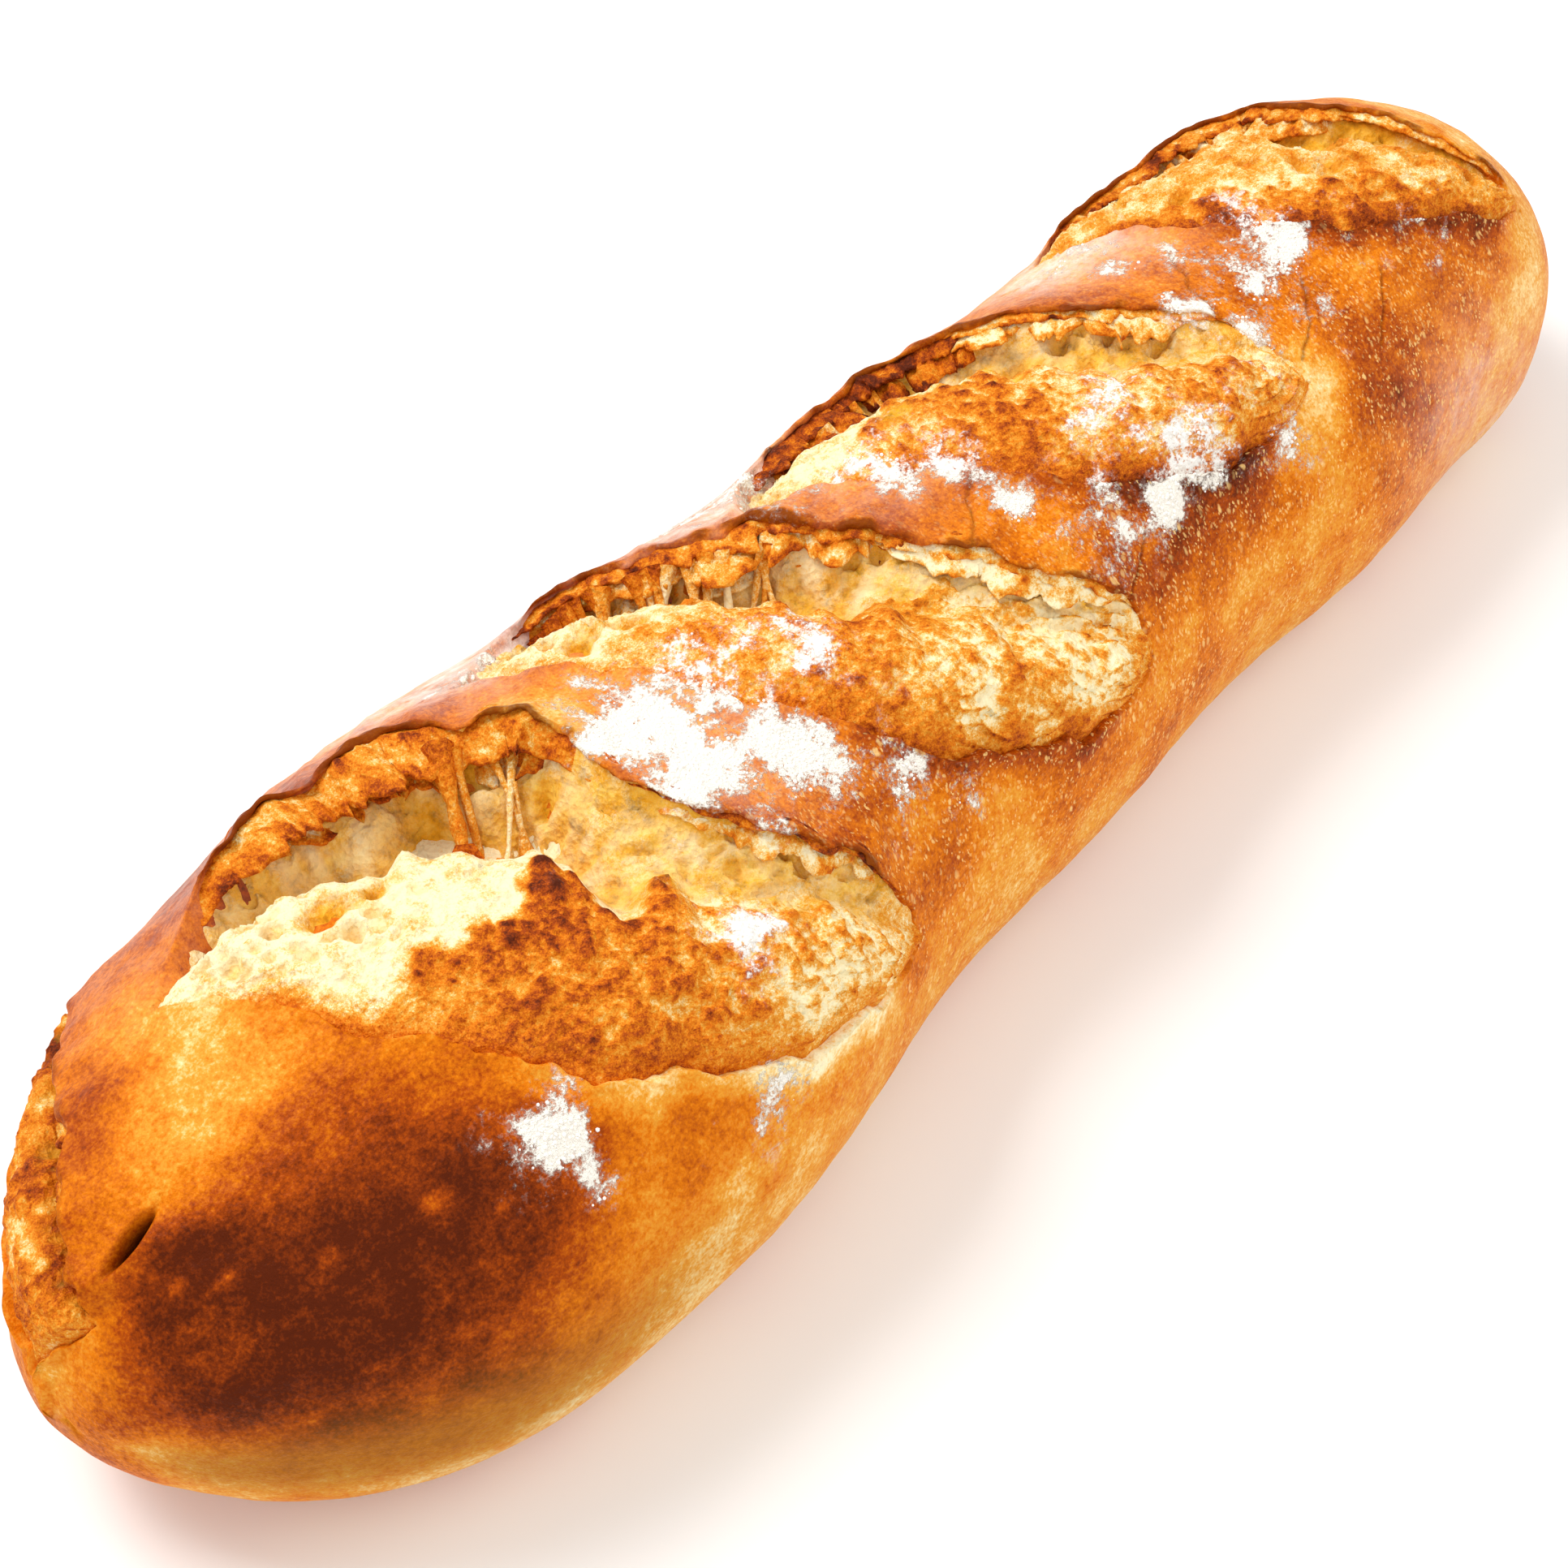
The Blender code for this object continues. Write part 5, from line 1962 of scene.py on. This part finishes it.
@dataclass(frozen=True)
class CrumbFinish(Finish):
    """Torn crumb, from cream to toasted gold, with olive crumb and painted shade where it lies deep in crevices,
    pits and cavities.
    """

    # Colours for the painted shade in crevices, pits and cavities: deep is the dark shade, hollow and wall are the
    # crumb's own orange-yellow there.
    deep: Colour = (0.30, 0.135, 0.006)
    hollow: Colour = (0.80, 0.39, 0.014)
    wall: Colour = (0.95, 0.60, 0.09)
    flour: Colour = (0.96, 0.92, 0.86)
    fineness: float = 1.9
    shade_share: float = 0.88
    bumpiness: float = 0.7
    bump_height: float = 0.0006
    sheen: float = 0.15

    def build(self, effects: SharedEffects) -> bpy.types.Material:
        """Makes the material.

        Args:
            effects: the node groups that finishes share.

        Returns:
            The material.
        """
        material, graph, shader, where = self.start()
        mottle = effects.mottled(graph, where, self.fineness)
        depth = graph.math("MULTIPLY_ADD", graph.value("toast"), 3.0, 0.45, clamp=True)
        depth = graph.math("MULTIPLY", depth, 1.5)
        toast = graph.math("MULTIPLY_ADD", mottle, depth, graph.value("toast"))
        colour = effects.baked(graph, toast)
        # Painted shade in crevices, pits and cavities: a noisy ramp from dark shade to the crumb's own
        # orange-yellow.
        uneven = graph.math("MULTIPLY_ADD", graph.noise(where, 330.0, 4.0, 0.65), 2.2, -1.1)
        sunk = graph.math("MULTIPLY_ADD", uneven, -0.9, 0.5)
        hollow = graph.ramp(sunk, ((0.05, self.deep), (0.45, self.hollow), (0.85, self.wall)))
        shade = graph.math("MULTIPLY", graph.value("shade"), self.shade_share, clamp=True)
        colour = graph.blend(shade, colour, hollow)
        dust = effects.dusted(graph, where)
        colour = graph.blend(dust.outputs["Mask"], colour, self.flour)
        graph.tree.links.new(colour, shader.inputs["Base Color"])
        pores = graph.add("ShaderNodeTexVoronoi", {"Vector": where, "Scale": 900.0}).outputs["Distance"]
        skin = graph.math("MULTIPLY_ADD", graph.noise(where, 800.0, 3.0, 0.7), 1.0, pores)
        skin = graph.math("MULTIPLY_ADD", dust.outputs["Height"], 0.6, skin)
        relief = {"Strength": self.bumpiness, "Distance": self.bump_height, "Height": skin}
        bump = graph.add("ShaderNodeBump", relief)
        graph.tree.links.new(bump.outputs[0], shader.inputs["Normal"])
        shader.inputs["Specular IOR Level"].default_value = self.sheen
        return material


@dataclass(frozen=True)
class PlainFinish(Finish):
    """A finish of one colour broken up by fine noise, for flour and strands."""

    light: Colour
    shade: Colour
    scale: float

    def build(self) -> bpy.types.Material:
        """Makes the material.

        Returns:
            The material.
        """
        material, graph, shader, where = self.start()
        mixed = graph.noise(where, self.scale, 3.0)
        colour = graph.ramp(mixed, ((0.35, self.shade), (0.65, self.light)))
        graph.tree.links.new(colour, shader.inputs["Base Color"])
        bump = graph.add("ShaderNodeBump", {"Strength": 0.4, "Distance": 0.0003, "Height": mixed})
        graph.tree.links.new(bump.outputs[0], shader.inputs["Normal"])
        return material


@dataclass(frozen=True)
class Lamp:
    """A square soft light that faces the loaf, with its power in watts."""

    name: str
    place: tuple[float, float, float]
    side: float
    power: float


class Studio:
    """The camera at the photograph's angle, soft lights and a pale floor."""

    lamps = (
        Lamp("key", (-0.25, 0.70, 1.10), 0.7, 13.0),
        Lamp("fill", (-0.75, -0.75, 0.8), 1.1, 3.8),
        Lamp("right", (0.7, -0.7, 0.8), 0.9, 4.8),
    )
    lit_point = Vector((0.0, 0.0, 0.03))
    sky = (1.0, 0.99, 0.97, 1.0)
    sky_strength = 0.62
    floor_colour = (0.93, 0.93, 0.92, 1.0)
    floor_roughness = 0.9
    floor_reach = 4.0
    focal_pixels = 3600.0
    image_side = 1932.0
    eye = Vector((-0.27292, -0.20828, 0.3848))
    ahead = Vector((0.5126, 0.4301, -0.7431))

    def build(self) -> None:
        """Sets up everything that isn't part of the loaf."""
        self._camera()
        self._floor()
        for lamp in self.lamps:
            self._hang(lamp)
        world = bpy.data.worlds.new("studio")
        world.use_nodes = True
        world.node_tree.nodes["Background"].inputs["Color"].default_value = self.sky
        world.node_tree.nodes["Background"].inputs["Strength"].default_value = self.sky_strength
        bpy.context.scene.world = world
        bpy.context.scene.view_settings.view_transform = "Standard"

    def _camera(self) -> None:
        """Places the camera that was fitted to the loaf's outline."""
        camera = bpy.data.cameras.new("camera")
        camera.sensor_width = 36.0
        camera.lens = camera.sensor_width * self.focal_pixels / self.image_side
        camera.clip_start = 0.01
        holder = bpy.data.objects.new("camera", camera)
        holder.location = self.eye
        holder.rotation_euler = self.ahead.to_track_quat("-Z", "Y").to_euler()
        bpy.context.scene.collection.objects.link(holder)
        bpy.context.scene.camera = holder

    def _floor(self) -> None:
        """A wide pale floor."""
        mesh = bpy.data.meshes.new("floor")
        reach = self.floor_reach
        corners = [(-reach, -reach, 0.0), (reach, -reach, 0.0), (reach, reach, 0.0), (-reach, reach, 0.0)]
        mesh.from_pydata(corners, [], [(0, 1, 2, 3)])
        material = bpy.data.materials.new("floor")
        material.use_nodes = True
        shader = material.node_tree.nodes["Principled BSDF"]
        shader.inputs["Base Color"].default_value = self.floor_colour
        shader.inputs["Roughness"].default_value = self.floor_roughness
        mesh.materials.append(material)
        floor = bpy.data.objects.new("floor", mesh)
        bpy.context.scene.collection.objects.link(floor)

    def _hang(self, lamp: Lamp) -> None:
        """Hangs a lamp and turns it to the loaf.

        Args:
            lamp: its place, size and power.
        """
        light = bpy.data.lights.new(lamp.name, "AREA")
        light.size, light.energy = lamp.side, lamp.power
        holder = bpy.data.objects.new(lamp.name, light)
        holder.location = lamp.place
        ray = self.lit_point - Vector(lamp.place)
        holder.rotation_euler = ray.to_track_quat("-Z", "Y").to_euler()
        bpy.context.scene.collection.objects.link(holder)


def hand_over(piece: bpy.types.Object, replaces: bool = False) -> None:
    """Ties a finished piece to the frame and reports it.

    Args:
        piece: the piece.
        replaces: whether it stands for the loaf's solid.
    """
    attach(piece, BODY)
    if replaces:
        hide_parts(NODE)
    LOG.info("%s: %d faces", piece.name, len(piece.data.polygons))


def main() -> None:
    """Builds the loaf, then the studio round it."""
    logging.basicConfig(level=logging.INFO, format="%(message)s")
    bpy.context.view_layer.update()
    body = LoafBody()
    effects = SharedEffects()
    crust, shift = Crust(body).build()
    crust.data.materials.append(CrustFinish("crust", 0.46).build(effects))
    hand_over(crust, replaces=True)
    crumb_finish = CrumbFinish("crumb", 0.72).build(effects)
    crumbs = [TornCrumb(body, tear, shift).build() for tear in TEARS]
    ears = Ears(body, shift).build()
    for piece in (*crumbs, ears):
        piece.data.materials.append(crumb_finish)
        hand_over(piece)
    hand_over(Strands(body, shift).build(crumb_finish))
    flour = PlainFinish("flour", 0.9, (0.96, 0.94, 0.90), (0.88, 0.84, 0.78), 900.0).build()
    hand_over(FlourClumps().build([crust, *crumbs], flour))
    Studio().build()


if __name__ == "__main__":
    main()
